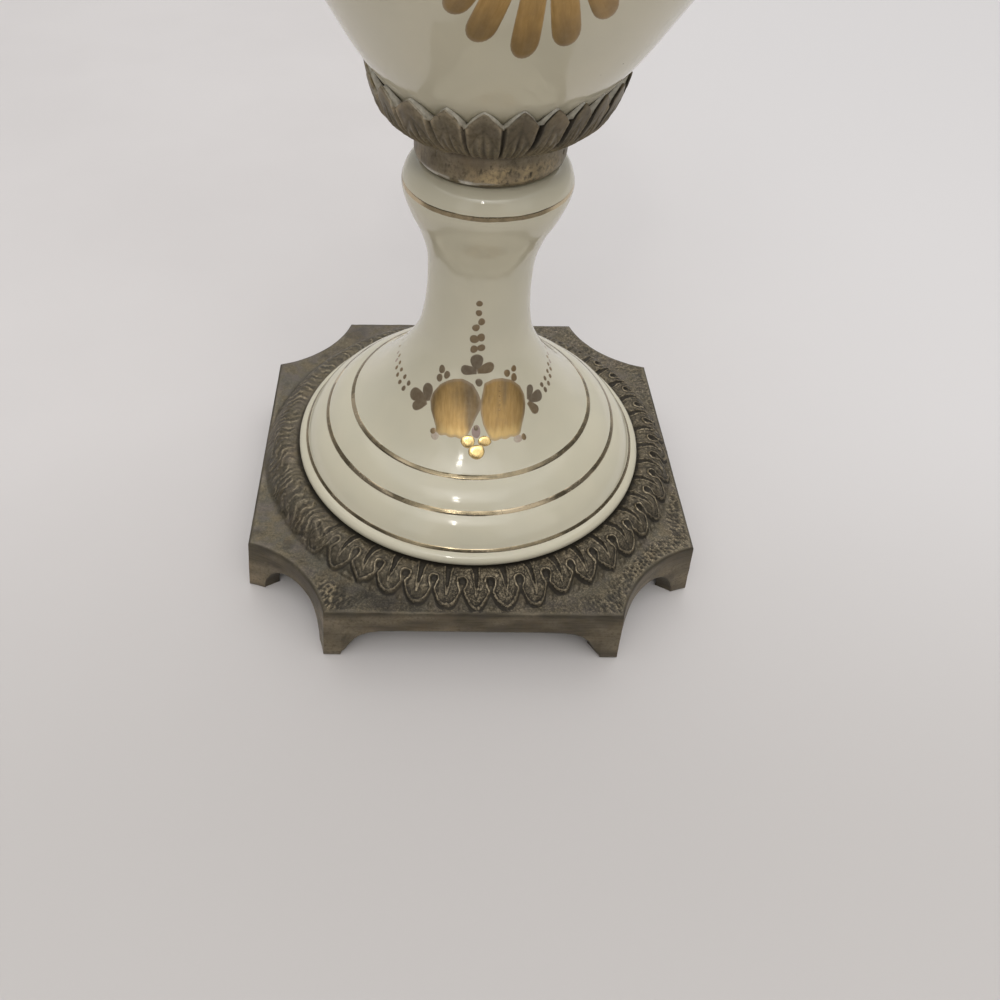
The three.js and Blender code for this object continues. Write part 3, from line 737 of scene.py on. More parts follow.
# ---- body -----------------------------------------------------------------
def body():
    outside = curve(BODY, 1.15)
    line = Line(outside)
    lines = [(line.s_at_z(236.5), 0.5), (line.s_at_z(249.3), 0.42)]
    s_all = line.s
    for s, h in lines:
        s_all = s_all[(s_all < s - h - 0.1) | (s_all > s + h + 0.1)]
        s_all = np.unique(np.r_[s_all, s - h, s - h + 0.12, s + h - 0.12, s + h])
    r, z = line.at(s_all)
    nr, nz = line.normal(s_all, 0.5)
    lift, mats, edge = np.zeros(len(s_all)), np.zeros(len(s_all), int), np.zeros(len(s_all))
    for s, h in lines:
        lift += np.where(np.abs(s_all - s) < h - 0.05, 0.06, 0.0)
        mats[(s_all >= s - h - 1e-6) & (s_all < s + h - 1e-6)] = 4
    out = np.stack([r + nr * lift, z + nz * lift], -1)
    k = (line.s > line.s_at_z(118.5)) & (line.s < line.s_at_z(249.0))
    ri, zi = line.at(line.s[k])
    nri, nzi = line.normal(line.s[k], 0.5)
    inner = np.stack([ri - nri * BODY_WALL, zi - nzi * BODY_WALL], -1)[::2]
    floor_z = 116.0
    inner = inner[inner[:, 1] > floor_z + 2.0]
    lip = [(29.4 - BODY_WALL, 251.4), (29.4 - BODY_WALL + 0.6, 252.0)]
    path = np.vstack([out, np.array(lip)[::-1], inner[::-1], [(14.0, floor_z + 0.4), (10.0, floor_z)]])
    mat_rows = np.r_[mats, np.zeros(2, int), np.full(len(inner) + 2, 2)][:-1]
    b = Build()
    turn(b, path, 288, mats=mat_rows, first_pole=111.5, last_pole=floor_z, wobble=0.06, seed=8, edge=np.r_[edge, np.zeros(len(path) - len(edge))])
    b.attr["tone"] = [np.zeros(b.n)]

    # gilded flower on the front: a fan of petals under a small boss of dots
    sk = Skin(line, line.s_at_z(120.0) + 44.0, 1.5)
    root = 8.0
    fan_ = [(0.0, 28.2, 4.55), (14.8, 26.9, 4.7), (30.7, 24.7, 4.35), (46.0, 22.6, 4.1), (61.0, 20.8, 3.8), (76.0, 19.4, 3.5), (91.0, 18.4, 3.3)]
    for side in (-1, 1):
        for k, (a, far, wide) in enumerate(fan_):
            if k == 0 and side > 0:
                continue
            if side < 0 and 0 < k < 3:
                a, far, wide = ((17.2, 26.3, 4.9), (31.3, 23.4, 4.4))[k - 1]
            a *= side
            u0, v0 = math.sin(math.radians(a)) * root, -math.cos(math.radians(a)) * root
            o, m = petal(u0, v0, far - root, wide, a)

            def deep(uv, u0=u0, v0=v0, far=far, a=a):
                t = np.hypot(uv[:, 0] - u0, uv[:, 1] - v0)
                off = np.cos(math.radians(a)) * (uv[:, 0] - u0) + np.sin(math.radians(a)) * (uv[:, 1] - v0)
                return np.clip(0.50 * smooth(far - root - 9.0, far - root - 1.5, t) + 0.06 * np.sin(off * 2.4 + a), 0, 1)

            lay(b, sk, o, m, thick=0.09, rings=9, tone_fn=deep, turn_=a)
    dab(b, sk, 0.0, 0.0, 3.6, 3.6, seed=90, thick=0.16)
    for k in range(9):
        a = (k - 4) * 30.0
        dab(b, sk, 6.0 * math.sin(math.radians(a)), -6.0 * math.cos(math.radians(a)), 0.95, 0.95, seed=91 + k, tone=0.45)
    for k in range(5):
        dab(b, sk, 0.0, 6.6 + 2.9 * k, 1.1 - 0.13 * k, 1.15 - 0.13 * k, seed=100 + k, tone=0.45)
    for side in (-1, 1):
        for k in range(6):
            dab(b, sk, side * (4.3 + 3.1 * k), 6.4 + 1.5 * math.sin(k * 0.9), 1.0 - 0.09 * k, 1.05 - 0.09 * k, seed=110 + k, tone=0.45)

    ob = b.object("urn_body", [PORCELAIN, GILT, BISCUIT, RUBBED, GILT_LINE], smooth_angle=40)
    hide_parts("body")
    return ob


# ---- plinth ---------------------------------------------------------------
def plinth_columns(sides=(262, 120, 168, 276), corners=(84, 60, 88, 122)):
    """One (x, y) per column on the plinth's top and bottom outlines, with how far round each column is, 0..1, along its straight or scooped side."""
    def outline(u):
        a = PLINTH_HALF + PLINTH_SPLAY * u
        bb = PLINTH_SIDE + SIDE_SPLAY * u
        h = (PLINTH_HALF - PLINTH_SIDE) / math.sqrt(2)
        R0 = (h * h + CORNER_SAG ** 2) / (2 * CORNER_SAG)
        D = (PLINTH_HALF + PLINTH_SIDE) / math.sqrt(2) - CORNER_SAG + R0
        c = D / math.sqrt(2)
        R = R0 - CORNER_SPLAY * u
        bb = c - math.sqrt(R * R - (c - a) ** 2)  # where the scoop meets the straight side
        pts, kind, along = [], [], []
        for q, (per_side, per_corner) in enumerate(zip(sides, corners)):  # right, back, left, front
            rot = np.array([[math.cos(q * math.pi / 2), -math.sin(q * math.pi / 2)], [math.sin(q * math.pi / 2), math.cos(q * math.pi / 2)]])
            t = np.linspace(-1, 1, per_side, endpoint=False)
            side = np.stack([np.full(per_side, a), t * bb], -1)
            e0 = math.atan2(bb - c, a - c)
            e1 = math.atan2(a - c, bb - c)
            e0, e1 = e0 % TAU, e1 % TAU
            w = np.linspace(0, 1, per_corner, endpoint=False)
            ang = e0 + (e1 - e0) * w
            scoop = np.stack([c + R * np.cos(ang), c + R * np.sin(ang)], -1)
            pts += [side @ rot.T, scoop @ rot.T]
            kind += [np.zeros(per_side), np.ones(per_corner)]
            along += [t * bb, (w * 2 - 1) * math.hypot(a - bb, a - bb) / 2]
        return np.vstack(pts), np.concatenate(kind), np.concatenate(along)
    return outline


def wave_line():
    """The raised line of the leaf band in one repeat, as (across from the eye, radius): round the eye, in to the neck, out round the leaf's tip."""
    pts = []
    R = 1.22
    for t in np.linspace(0, 1, 16):
        a = math.pi / 2 * (1 - t) + (-0.45) * t
        pts.append((R * math.cos(a), EYE_R - R * math.sin(a)))
    pts = [(x, y) for x, y in pts]
    neck = (0.50, NECK_R)
    x0, y0 = pts[-1]
    for t in np.linspace(0, 1, 8)[1:]:
        s = t * t * (3 - 2 * t)
        pts.append((x0 + (neck[0] - x0) * s, y0 + (neck[1] - y0) * t))
    half = TAU * TIP_R / LOBES / 2
    for t in np.linspace(0, 1, 26)[1:]:
        e = (half - neck[0]) * (1 - t)
        pts.append((half - e, TIP_R - (TIP_R - NECK_R) * (e / (half - neck[0])) ** 1.55))
    return np.array(pts)


WAVE = wave_line()


def segment_distance(x, y, path):
    best = np.full(x.shape, 1e9)
    for (ax, ay), (bx, by) in zip(path[:-1], path[1:]):
        dx, dy = bx - ax, by - ay
        t = np.clip(((x - ax) * dx + (y - ay) * dy) / (dx * dx + dy * dy), 0, 1)
        best = np.minimum(best, (x - ax - t * dx) ** 2 + (y - ay - t * dy) ** 2)
    return np.sqrt(best)


def outside_wave(x, y):
    """True between the leaves and in the eyes: on the outer side of the raised line."""
    half = WAVE[-1, 0]
    loop = np.vstack([WAVE, [(half + 0.01, TIP_R + 9), (-0.01, TIP_R + 9), (-0.01, WAVE[0, 1])]])
    odd = np.zeros(x.shape, bool)
    for (ax, ay), (bx, by) in zip(loop, np.roll(loop, -1, 0)):
        if ay != by:
            odd ^= ((ay > y) != (by > y)) & (x < (bx - ax) * (y - ay) / (by - ay) + ax)
    return odd


def leaf_band(theta, r, x, y, z0):
    """Height (mm), rubbing and painted highlight, dirt and painted shade, patina and painted sheen, line strength,
    distance from a line and hatching of the cast leaf band at angle theta (radians from the front) and radius r, over
    the plain profile z0.
    """
    deg = np.degrees(theta)
    sharp = smooth(-66, -20, deg) * smooth(160, 112, deg)  # the casting is softer round the left and the back
    n3 = np.stack([x, y, 0 * x], -1)
    rr = r + 0.20 * noise(n3, 2.4, 21)
    ph = (deg - LOBE_EYE0) / (360.0 / LOBES) + (0.030 + 0.10 * (1 - sharp)) * noise(n3, 2.6, 22) + (1 - sharp) * 0.16 * (rr - 54) / 3
    lobe = np.floor(ph).astype(np.int64) % LOBES
    eye_id = np.floor(ph + 0.5).astype(np.int64) % LOBES
    q = np.abs(ph - np.floor(ph + 0.5))
    pitch = TAU * rr / LOBES
    d, e = q * pitch, (0.5 - q) * pitch
    half = TAU * TIP_R / LOBES / 2
    d_tip = q * 2 * half
    # each lobe has its own tip: some pointed, some round and hanging lower
    own = 0.5 + 0.5 * lattice(lobe, 0 * lobe, 0 * lobe, 41)
    reach = 0.40 * lattice(lobe, 0 * lobe, 0 * lobe, 42)
    en = np.clip((half - d_tip) / (half - 0.5), 0, 1)
    fall = TIP_R - NECK_R
    usual = TIP_R - fall * en ** 1.55
    mine = TIP_R + reach - (fall + reach) * en ** (1.35 + 1.35 * own)
    rr = rr - (mine - usual) * smooth(NECK_R - 0.5, NECK_R + 0.9, rr)
    dd = np.where(rr > NECK_R, d_tip + (d - d_tip) * np.clip((TIP_R - rr) / fall, 0, 1), d)
    dist = segment_distance(dd, rr, WAVE)
    age = 0.78 + 0.34 * noise(n3, 4.2, 31) + 0.38 * noise(n3, 1.1, 32)
    lob_amp = 1 + 0.25 * lattice(lobe, 0 * lobe, 0 * lobe, 43)
    ridge = np.exp(-((dist / (0.205 + 0.17 * (1 - sharp))) ** 2))
    out_r = np.interp(dd, WAVE[-26:, 0], WAVE[-26:, 1])
    inner = smooth(-0.22, 0.16, out_r - rr)
    eye = np.hypot(d, (rr - EYE_R) * 0.86)
    eye_amp = (0.10 + 0.90 * sharp) * (1 + 0.25 * lattice(eye_id, 0 * eye_id, 0 * eye_id, 44))
    in_leaf = inner * smooth(0.35, 0.9, d - 0.2 + 0.9 * smooth(55.0, 53.0, rr)) * smooth(1.2, 1.8, eye)
    h = (0.50 * ridge * age + 0.16 * inner * smooth(0.0, 0.5, dist)) * (0.08 + 0.92 * sharp) - 0.75 * smooth(1.00, 0.35, eye) * eye_amp
    # leaf: a low swell that keeps its height to the tip, then falls to the plate
    h = h + (0.12 * np.clip(1 - (e / 3.2) ** 2, 0, 1) * lob_amp + 0.26 * smooth(56.6, TIP_R, rr)) * in_leaf * (0.25 + 0.75 * sharp)
    # each side of a leaf dips just inside its raised edge
    h = h - 0.22 * np.exp(-(((dist - 0.50) / 0.20) ** 2)) * sharp
    # dart: two lines from the porcelain meeting at a point, sunk between
    wide = np.interp(rr, [49.0, 51.5, 54.8, 57.0], [1.10, 0.85, 0.50, 0.0])
    dart = np.exp(-(((e - wide) / 0.24) ** 2)) * smooth(57.2, 56.4, rr)
    h = h + 0.46 * dart * age * (0.12 + 0.88 * sharp) - 0.36 * smooth(wide + 0.01, wide * 0.35, e) * smooth(56.2, 54.5, rr) * (0.25 + 0.75 * sharp)
    # slots between the tips go down nearly to the plate
    slot = (1 - inner) * smooth(NECK_R - 0.2, NECK_R + 0.7, rr) * smooth(TIP_R + 0.5, TIP_R - 0.4, rr)
    slot = slot * (1 - ridge)
    h = h - np.clip((z0 - 17.85) * 0.40, 0, 0.60) * slot * (0.25 + 0.75 * sharp)
    berry = np.clip(1 - (np.hypot(d_tip, rr - (TIP_R - 0.15)) / 0.60) ** 2, 0, 1)
    h = h + 0.45 * np.sqrt(berry) * (0.4 + 0.6 * sharp)
    # rough cast ground inside the leaves
    speck = noise(n3, 0.62, 36, 2)
    h = h + 0.22 * speck * (0.20 + 0.80 * sharp) + 0.12 * noise(n3, 1.9, 35)
    # the worn left side is left with slanting wavy strokes
    turn_ = (deg + 180.0) / 2.6 - 0.15 * (r - 54.0) + 0.30 * np.sin(1.0 * (r - 54.0) + deg * 0.21) + 0.80 * noise(n3, 5.0, 38)
    streaks = np.sin(TAU * turn_) * (0.75 + 0.45 * noise(n3, 4.0, 40)) + 0.45 * noise(n3, 1.3, 37, 2)
    h = h + 0.12 * streaks * (1 - sharp) * smooth(49.8, 51.6, r) * smooth(TIP_R, TIP_R - 1.5, r)
    fade = smooth(48.6, 49.8, r) * smooth(TIP_R + 1.6, TIP_R + 0.7, r)
    wear = np.clip(0.34 * np.exp(-(((deg - 9) / 11) ** 2)) * in_leaf * smooth(0.0, 0.5, noise(n3, 2.6, 49, 2)) + 0.55 * ridge * age + 0.50 * dart + 0.3 * berry + 0.55 * smooth(0.25, 0.75, speck) * in_leaf, 0, 1) * (0.05 + 0.95 * sharp) + 0.06 * smooth(0.45, 1.0, streaks) * (1 - sharp)
    # dark along the lines, in the eyes, slots and dart channels: partly dirt in the hollows, partly painted shade
    groove = (1.15 - 0.85 * sharp) * np.exp(-(((dist - 0.52) / 0.21) ** 2)) + 1.2 * smooth(1.05, 0.4, eye) * eye_amp + 0.30 * slot + (0.20 + 0.45 * smooth(0.10, -0.5, speck)) * in_leaf + 0.05 * smooth(TIP_R + 1.2, TIP_R, rr) * (1 - inner) + 0.9 * smooth(wide + 0.01, wide * 0.3, e) * smooth(56, 54, rr)
    signed = np.where(outside_wave(dd, rr), -dist, dist)
    to_dart = np.where(rr < 57.0, e - wide, np.hypot(e, rr - 57.0))
    edge = np.where(np.abs(to_dart) < np.abs(signed), to_dart, signed)
    # the front middle and the right are the crispest, and each leaf has kept more or less of it
    kept = (0.70 + 0.34 * np.exp(-(((deg - 8) / 15) ** 2)) + 0.20 * lattice(lobe, 0 * lobe, 0 * lobe, 47)) * sharp ** 1.5
    worn = smooth(0.75, 0.25, sharp) * smooth(49.6, 51.4, r) * smooth(TIP_R + 0.4, TIP_R - 1.2, r + 1.0 * noise(n3, 3.0, 48))
    crisp = np.clip(kept * 1.15, 0, 1) * fade * smooth(49.4, 50.6, r)
    hatch = np.clip((0.42 + 0.58 * smooth(-12, 0, deg)) * (1 - 0.35 * smooth(22, 40, deg)) * (0.75 + 0.5 * noise(n3, 3.0, 50, 2)) * kept * (0.35 + 0.75 * np.clip(in_leaf, 0, 1)) * (1 - 0.6 * slot), 0, 1) * fade
    lee = smooth(-0.06, 0.06, ph - np.floor(ph + 0.5)) * smooth(0.5, 0.44, q)  # painted shade: the left edge of each leaf turns from the light, so its line is drawn dimmer and the gully beside it darker
    return h * fade, wear * fade, np.clip(groove * (0.08 + 0.92 * sharp) + 0.12 * (1 - sharp), 0, 1) * fade, np.clip(0.42 - 0.26 * sharp + 0.2 * slot, 0, 1), crisp, edge, hatch, lee, worn, turn_


def punched(x, y, amount):
    """Punch-marked ground: rows of small round dimples, jittered, with the metal raised between them."""
    pitch = 1.28
    gx, gy = x / pitch, y / (pitch * 0.866)
    best = np.full(x.shape, 9.0)
    for oy in (-1, 0, 1):
        for ox in (-1, 0, 1):
            j = np.floor(gy).astype(np.int64) + oy
            i = np.floor(gx - 0.5 * (j % 2)).astype(np.int64) + ox
            jx = 0.30 * lattice(i, j, 0 * i, 51)
            jy = 0.30 * lattice(i, j, 0 * i, 52)
            px = (i + 0.5 + 0.5 * (j % 2) + jx) * pitch
            py = (j + 0.5 + jy) * pitch * 0.866
            size = 1 + 0.25 * lattice(i, j, 0 * i, 53)
            best = np.minimum(best, np.hypot(x - px, y - py) / size)
    pit = smooth(0.62, 0.18, best)
    rim = smooth(0.42, 0.66, best)
    h = -0.36 * pit + 0.10 * rim
    return h * amount, rim * amount, pit * amount


def base_plinth():
    outline = plinth_columns()
    top, kind, along = outline(0.0)
    n = len(top)
    ang = np.arctan2(top[:, 1], top[:, 0])
    unit = np.stack([np.cos(ang), np.sin(ang)], -1)
    reach = np.hypot(top[:, 0], top[:, 1])
    band = curve(BAND, 0.2)
    b_r = np.concatenate([np.linspace(SEAT_R - 0.3, 49.6, 4), np.linspace(49.9, TIP_R + 0.55, 43)])
    fillet = 0.75
    inner_edge = reach - fillet / np.maximum(0.35, np.where(kind > 0, 1.0, np.cos(np.arctan2(np.abs(along), PLINTH_HALF))))
    rows_out = np.linspace(0, 1, 12)[1:] ** 0.95
    R = [np.minimum(r, inner_edge - 0.35 * (1 - j / 60)) if r > 58.0 else np.full(n, r) for j, r in enumerate(b_r)]
    last = R[-1]
    R += [last + (inner_edge - last) * t for t in rows_out]
    R = np.array(R)
    X, Y = R * unit[:, 0], R * unit[:, 1]
    theta = np.arctan2(X, -Y)
    flat = lambda a: a.ravel()
    z = np.interp(flat(R), band[:, 0], band[:, 1])
    h, wear, grime, film, crisp, edge, hatch, lee, worn, phase = leaf_band(flat(theta), flat(R), flat(X), flat(Y), z)
    n3 = np.stack([flat(X), flat(Y), 0 * flat(X)], -1)
    # punched ground along the outer edge: crisp on the right, nearly gone on the left, bright at the front left point
    edge_d = flat(np.repeat(inner_edge[None], len(R), 0) - R)
    corner = flat(np.repeat(kind[None], len(R), 0))
    deg = np.degrees(flat(theta))
    near = smooth(6.8, 4.2, edge_d + 1.3 * noise(n3, 3.5, 61))
    how = np.interp(deg, [-180, -150, -120, -62, -52, -40, -37, -30, -26, -15, 15, 24, 30, 100, 118, 140, 160, 180], [0.35, 0.18, 0.15, 0.12, 0.14, 0.25, 0.55, 0.55, 0.35, 0.25, 0.30, 0.45, 1.0, 1.15, 0.55, 0.60, 0.40, 0.35])
    amount = smooth(TIP_R + 1.0, TIP_R + 2.2, flat(R) + 0.5 * noise(n3, 2.0, 62)) * near * how
    amount *= np.clip(0.80 + 0.45 * noise(n3, 9.0, 63), 0.25, 1.0) * smooth(-0.1, 0.35, edge_d)
    ph, prim, ppit = punched(flat(X), flat(Y), amount)
    plate = smooth(57, 61, flat(R))
    z = z + h + ph + 0.04 * noise(n3, 0.9, 71, 2) * smooth(48.5, 50, flat(R)) + (0.12 * noise(n3, 6.0, 72, 2) + 0.09 * noise(n3, 2.0, 73, 2)) * plate
    stain = smooth(0.05, 0.55, noise(n3, 3.8, 74, 3)) * plate * (1 - 0.6 * amount)
    # painted shadow round the foot of the porcelain
    seat_shadow = smooth(50.4, 48.9, flat(R))
    rim_wear = smooth(1.2, 0.1, edge_d) * np.clip(0.30 + 0.5 * noise(n3, 5.0, 64), 0, 0.6)
    point = np.exp(-(((deg + 33.5) / 3.6) ** 2)) * smooth(61.5, 63.5, flat(R))
    verts = [np.stack([flat(X), flat(Y), z], -1)]
    wear_and_highlight_rows = [np.clip(0.85 * point * prim + 0.9 * wear + prim * (0.14 + 0.14 * smooth(20, 40, np.abs(deg))) + 0.35 * rim_wear, 0, 1)]
    # dirt from stains and punch pits; painted shade next to the porcelain and across the front and front left of the
    # plate
    grime_and_shade_rows = [np.clip(grime * 0.95 + 0.34 * stain + 0.5 * point * ppit + ppit * 1.0 + seat_shadow * 0.85 + (1 - 0.8 * point * prim) * (0.62 * np.exp(-(((deg + 9) / 33) ** 2)) + 0.22 * np.exp(-(((deg + 20) / 12) ** 2))) * plate * (0.8 + 0.5 * noise(n3, 2.4, 75, 2)), 0, 1)]
    # greenish patina on the plate, heavier towards the left partly as a painted grey sheen, thinner on the punched rims
    # and the rubbed point
    film_and_sheen_rows = [np.clip(film * (1 - plate) + plate * (0.66 + 0.24 * smooth(-15, -55, deg) - 0.4 * prim - 0.55 * point), 0, 1)]
    brasses = [np.clip(point * prim * 0.45, 0, 1)]
    sides = [np.zeros(len(z))]
    hatch = np.clip(hatch + plate * (0.30 + 0.55 * prim * (1 - ppit)) * (0.35 + 0.65 * smooth(-60, -20, deg)), 0, 1)
    rows = len(R)
    z_edge = z.reshape(rows, n)[-1]

    # rounded edge, then the side down to the arches, then in under the foot and up the inside
    bottom, _, _ = outline(1.0)
    norm_out = np.empty((n, 2))
    nxt, prv = np.roll(top, -1, 0), np.roll(top, 1, 0)
    tang = nxt - prv
    norm_out[:, 0], norm_out[:, 1] = tang[:, 1], -tang[:, 0]
    norm_out /= np.linalg.norm(norm_out, axis=1)[:, None]
    e_in = unit * inner_edge[:, None]

    def push(xy, zz, w=0.0, g=0.0, side=1.0, film=0.35, brass=0.0):
        xy = np.asarray(xy, float)
        zz = np.broadcast_to(np.asarray(zz, float), (n,))
        for store, value in ((film_and_sheen_rows, film), (brasses, brass), (sides, side)):
            store.append(np.broadcast_to(np.asarray(value, float), (n,)).copy())
        verts.append(np.stack([xy[:, 0], xy[:, 1], zz], -1))
        wear_and_highlight_rows.append(np.broadcast_to(np.asarray(w, float), (n,)).copy())
        grime_and_shade_rows.append(np.broadcast_to(np.asarray(g, float), (n,)).copy())

    z_line = lambda zz: top + (bottom - top) * ((PLINTH_H - zz) / PLINTH_H)[:, None] if np.ndim(zz) else top + (bottom - top) * ((PLINTH_H - zz) / PLINTH_H)
    # the rounded edge is drawn darker to dull its bright reflection: painted shade
    for t in (0.45, 0.8, 1.0):
        a = t * math.pi / 2
        edge_xy = z_line(PLINTH_H - fillet)
        xy = e_in + (edge_xy - e_in) * math.sin(a)
        zz = PLINTH_H - fillet * (1 - math.cos(a)) + (z_edge - PLINTH_H) * (1 - t)
        p3 = np.stack([xy[:, 0], xy[:, 1], zz], -1)
        push(xy, zz, np.clip(0.04 + 0.35 * noise(p3, 5.0, 84), 0, 0.5) * (1 - abs(t - 0.6)), 0.45)
    arch_side = np.array(SIDE_ARCH)[::-1]
    arch_corner = np.array(CORNER_ARCH)[::-1]
    at = np.abs(along)
    z_low = np.where(kind < 0.5, np.interp(at, arch_side[:, 0], arch_side[:, 1], right=0.0), np.interp(at, arch_corner[:, 0], arch_corner[:, 1], right=0.0))
    z_low = np.maximum(z_low, 0.0)
    on_foot = smooth(1.2, 0.0, z_low)
    for t in np.linspace(0, 1, 8)[1:]:
        t2 = 1 - (1 - t) ** 1.25
        zz = (PLINTH_H - fillet) + (z_low + 0.8 - (PLINTH_H - fillet)) * t2
        xy = z_line(zz)
        p3 = np.stack([xy[:, 0], xy[:, 1], zz], -1)
        stroke = noise(p3 * np.array([0.25, 0.25, 1.6]), 1.1, 81, 2)
        xy = xy + norm_out * (0.055 * stroke + 0.05 * noise(p3, 4.0, 82, 2))[:, None]
        push(xy, zz, np.clip(0.10 + 0.10 * on_foot * t + 0.25 * noise(p3 * np.array([0.3, 0.3, 1.0]), 2.0, 85), 0, 0.5), np.clip(0.10 + 0.35 * noise(p3 * np.array([0.2, 0.2, 1.4]), 1.6, 86, 2), 0, 0.5))
    for t in (0.4, 0.75, 1.0):
        a = t * math.pi / 2
        zz = z_low + 0.8 * (1 - math.sin(a))
        push(z_line(zz) - norm_out * 0.8 * (1 - math.cos(a)), zz, 0.2 * on_foot, 0.15)
    # inside outline
    h0 = (PLINTH_HALF - PLINTH_SIDE) / math.sqrt(2)
    R0 = (h0 * h0 + CORNER_SAG ** 2) / (2 * CORNER_SAG)
    cc = ((PLINTH_HALF + PLINTH_SIDE) / math.sqrt(2) - CORNER_SAG + R0) / math.sqrt(2)

    def inside(R_scoop):
        ca, sa = np.abs(unit[:, 0]), np.abs(unit[:, 1])
        square = RECESS_HALF / np.maximum(ca, sa)
        k = cc * (ca + sa)
        disc = k * k - (2 * cc * cc - R_scoop ** 2)
        scoop = np.where(disc > 0, k - np.sqrt(np.maximum(disc, 0)), 1e9)
        return np.minimum(square, scoop)

    r_low, r_top = inside(R0 + WALL - CORNER_SPLAY * 0.7), inside(R0 + WALL - CORNER_SPLAY * 0.25)
    push(unit * r_low[:, None], z_low, 0.0, 0.5)
    push(unit * r_low[:, None], np.minimum(z_low + 0.6, RECESS_Z - 0.5), 0.0, 0.7)
    push(unit * r_top[:, None], RECESS_Z - 0.25, 0.0, 0.8)
    push(unit * (r_top - 0.6)[:, None], RECESS_Z, 0.0, 0.8)
    push(unit * (ROUND_R + 2.0), RECESS_Z, 0.0, 0.6)
    push(unit * ROUND_R, ROUND_Z - 0.4, 0.0, 0.7)
    push(unit * (ROUND_R - 0.6), ROUND_Z, 0.0, 0.7)
    push(unit * 22.0, ROUND_Z, 0.0, 0.5)
    V = np.vstack(verts)
    total_rows = rows + len(verts) - 1
    quads = ring_quads(total_rows, n)[:, ::-1]
    k = len(V)
    V = np.vstack([V, [(0, 0, SEAT_Z), (0, 0, ROUND_Z)]])
    W = np.r_[np.concatenate(wear_and_highlight_rows), 0, 0]
    G = np.r_[np.concatenate(grime_and_shade_rows), 0.5, 0.5]
    b = Build()
    tail = lambda parts: np.r_[np.concatenate(parts), 0, 0]
    rest = lambda top_values: np.r_[top_values, np.zeros(len(V) - len(top_values))]
    b.add(V, [(quads, 0), (fan(k, 0, n), 0), (fan(k + 1, (total_rows - 1) * n, n, flip=True), 0)], wear=W, grime=G, film=tail(film_and_sheen_rows), brass=tail(brasses), side=tail(sides), crisp=rest(crisp), edge=rest(edge), hatch=rest(hatch), lee=rest(lee), worn=rest(worn), phase=rest(phase))
    ob = b.object("bronze_plinth", [BRONZE], smooth_angle=60)
    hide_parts("base_plinth")
    return ob


# ---- leaf cup -------------------------------------------------------------
LEAF_GAPS = [-51.3, -32.2, -16.9, 0.2, 15.2, 28.8, 39.8, 51.8]  # degrees from the front; the front leaves were spaced one by one
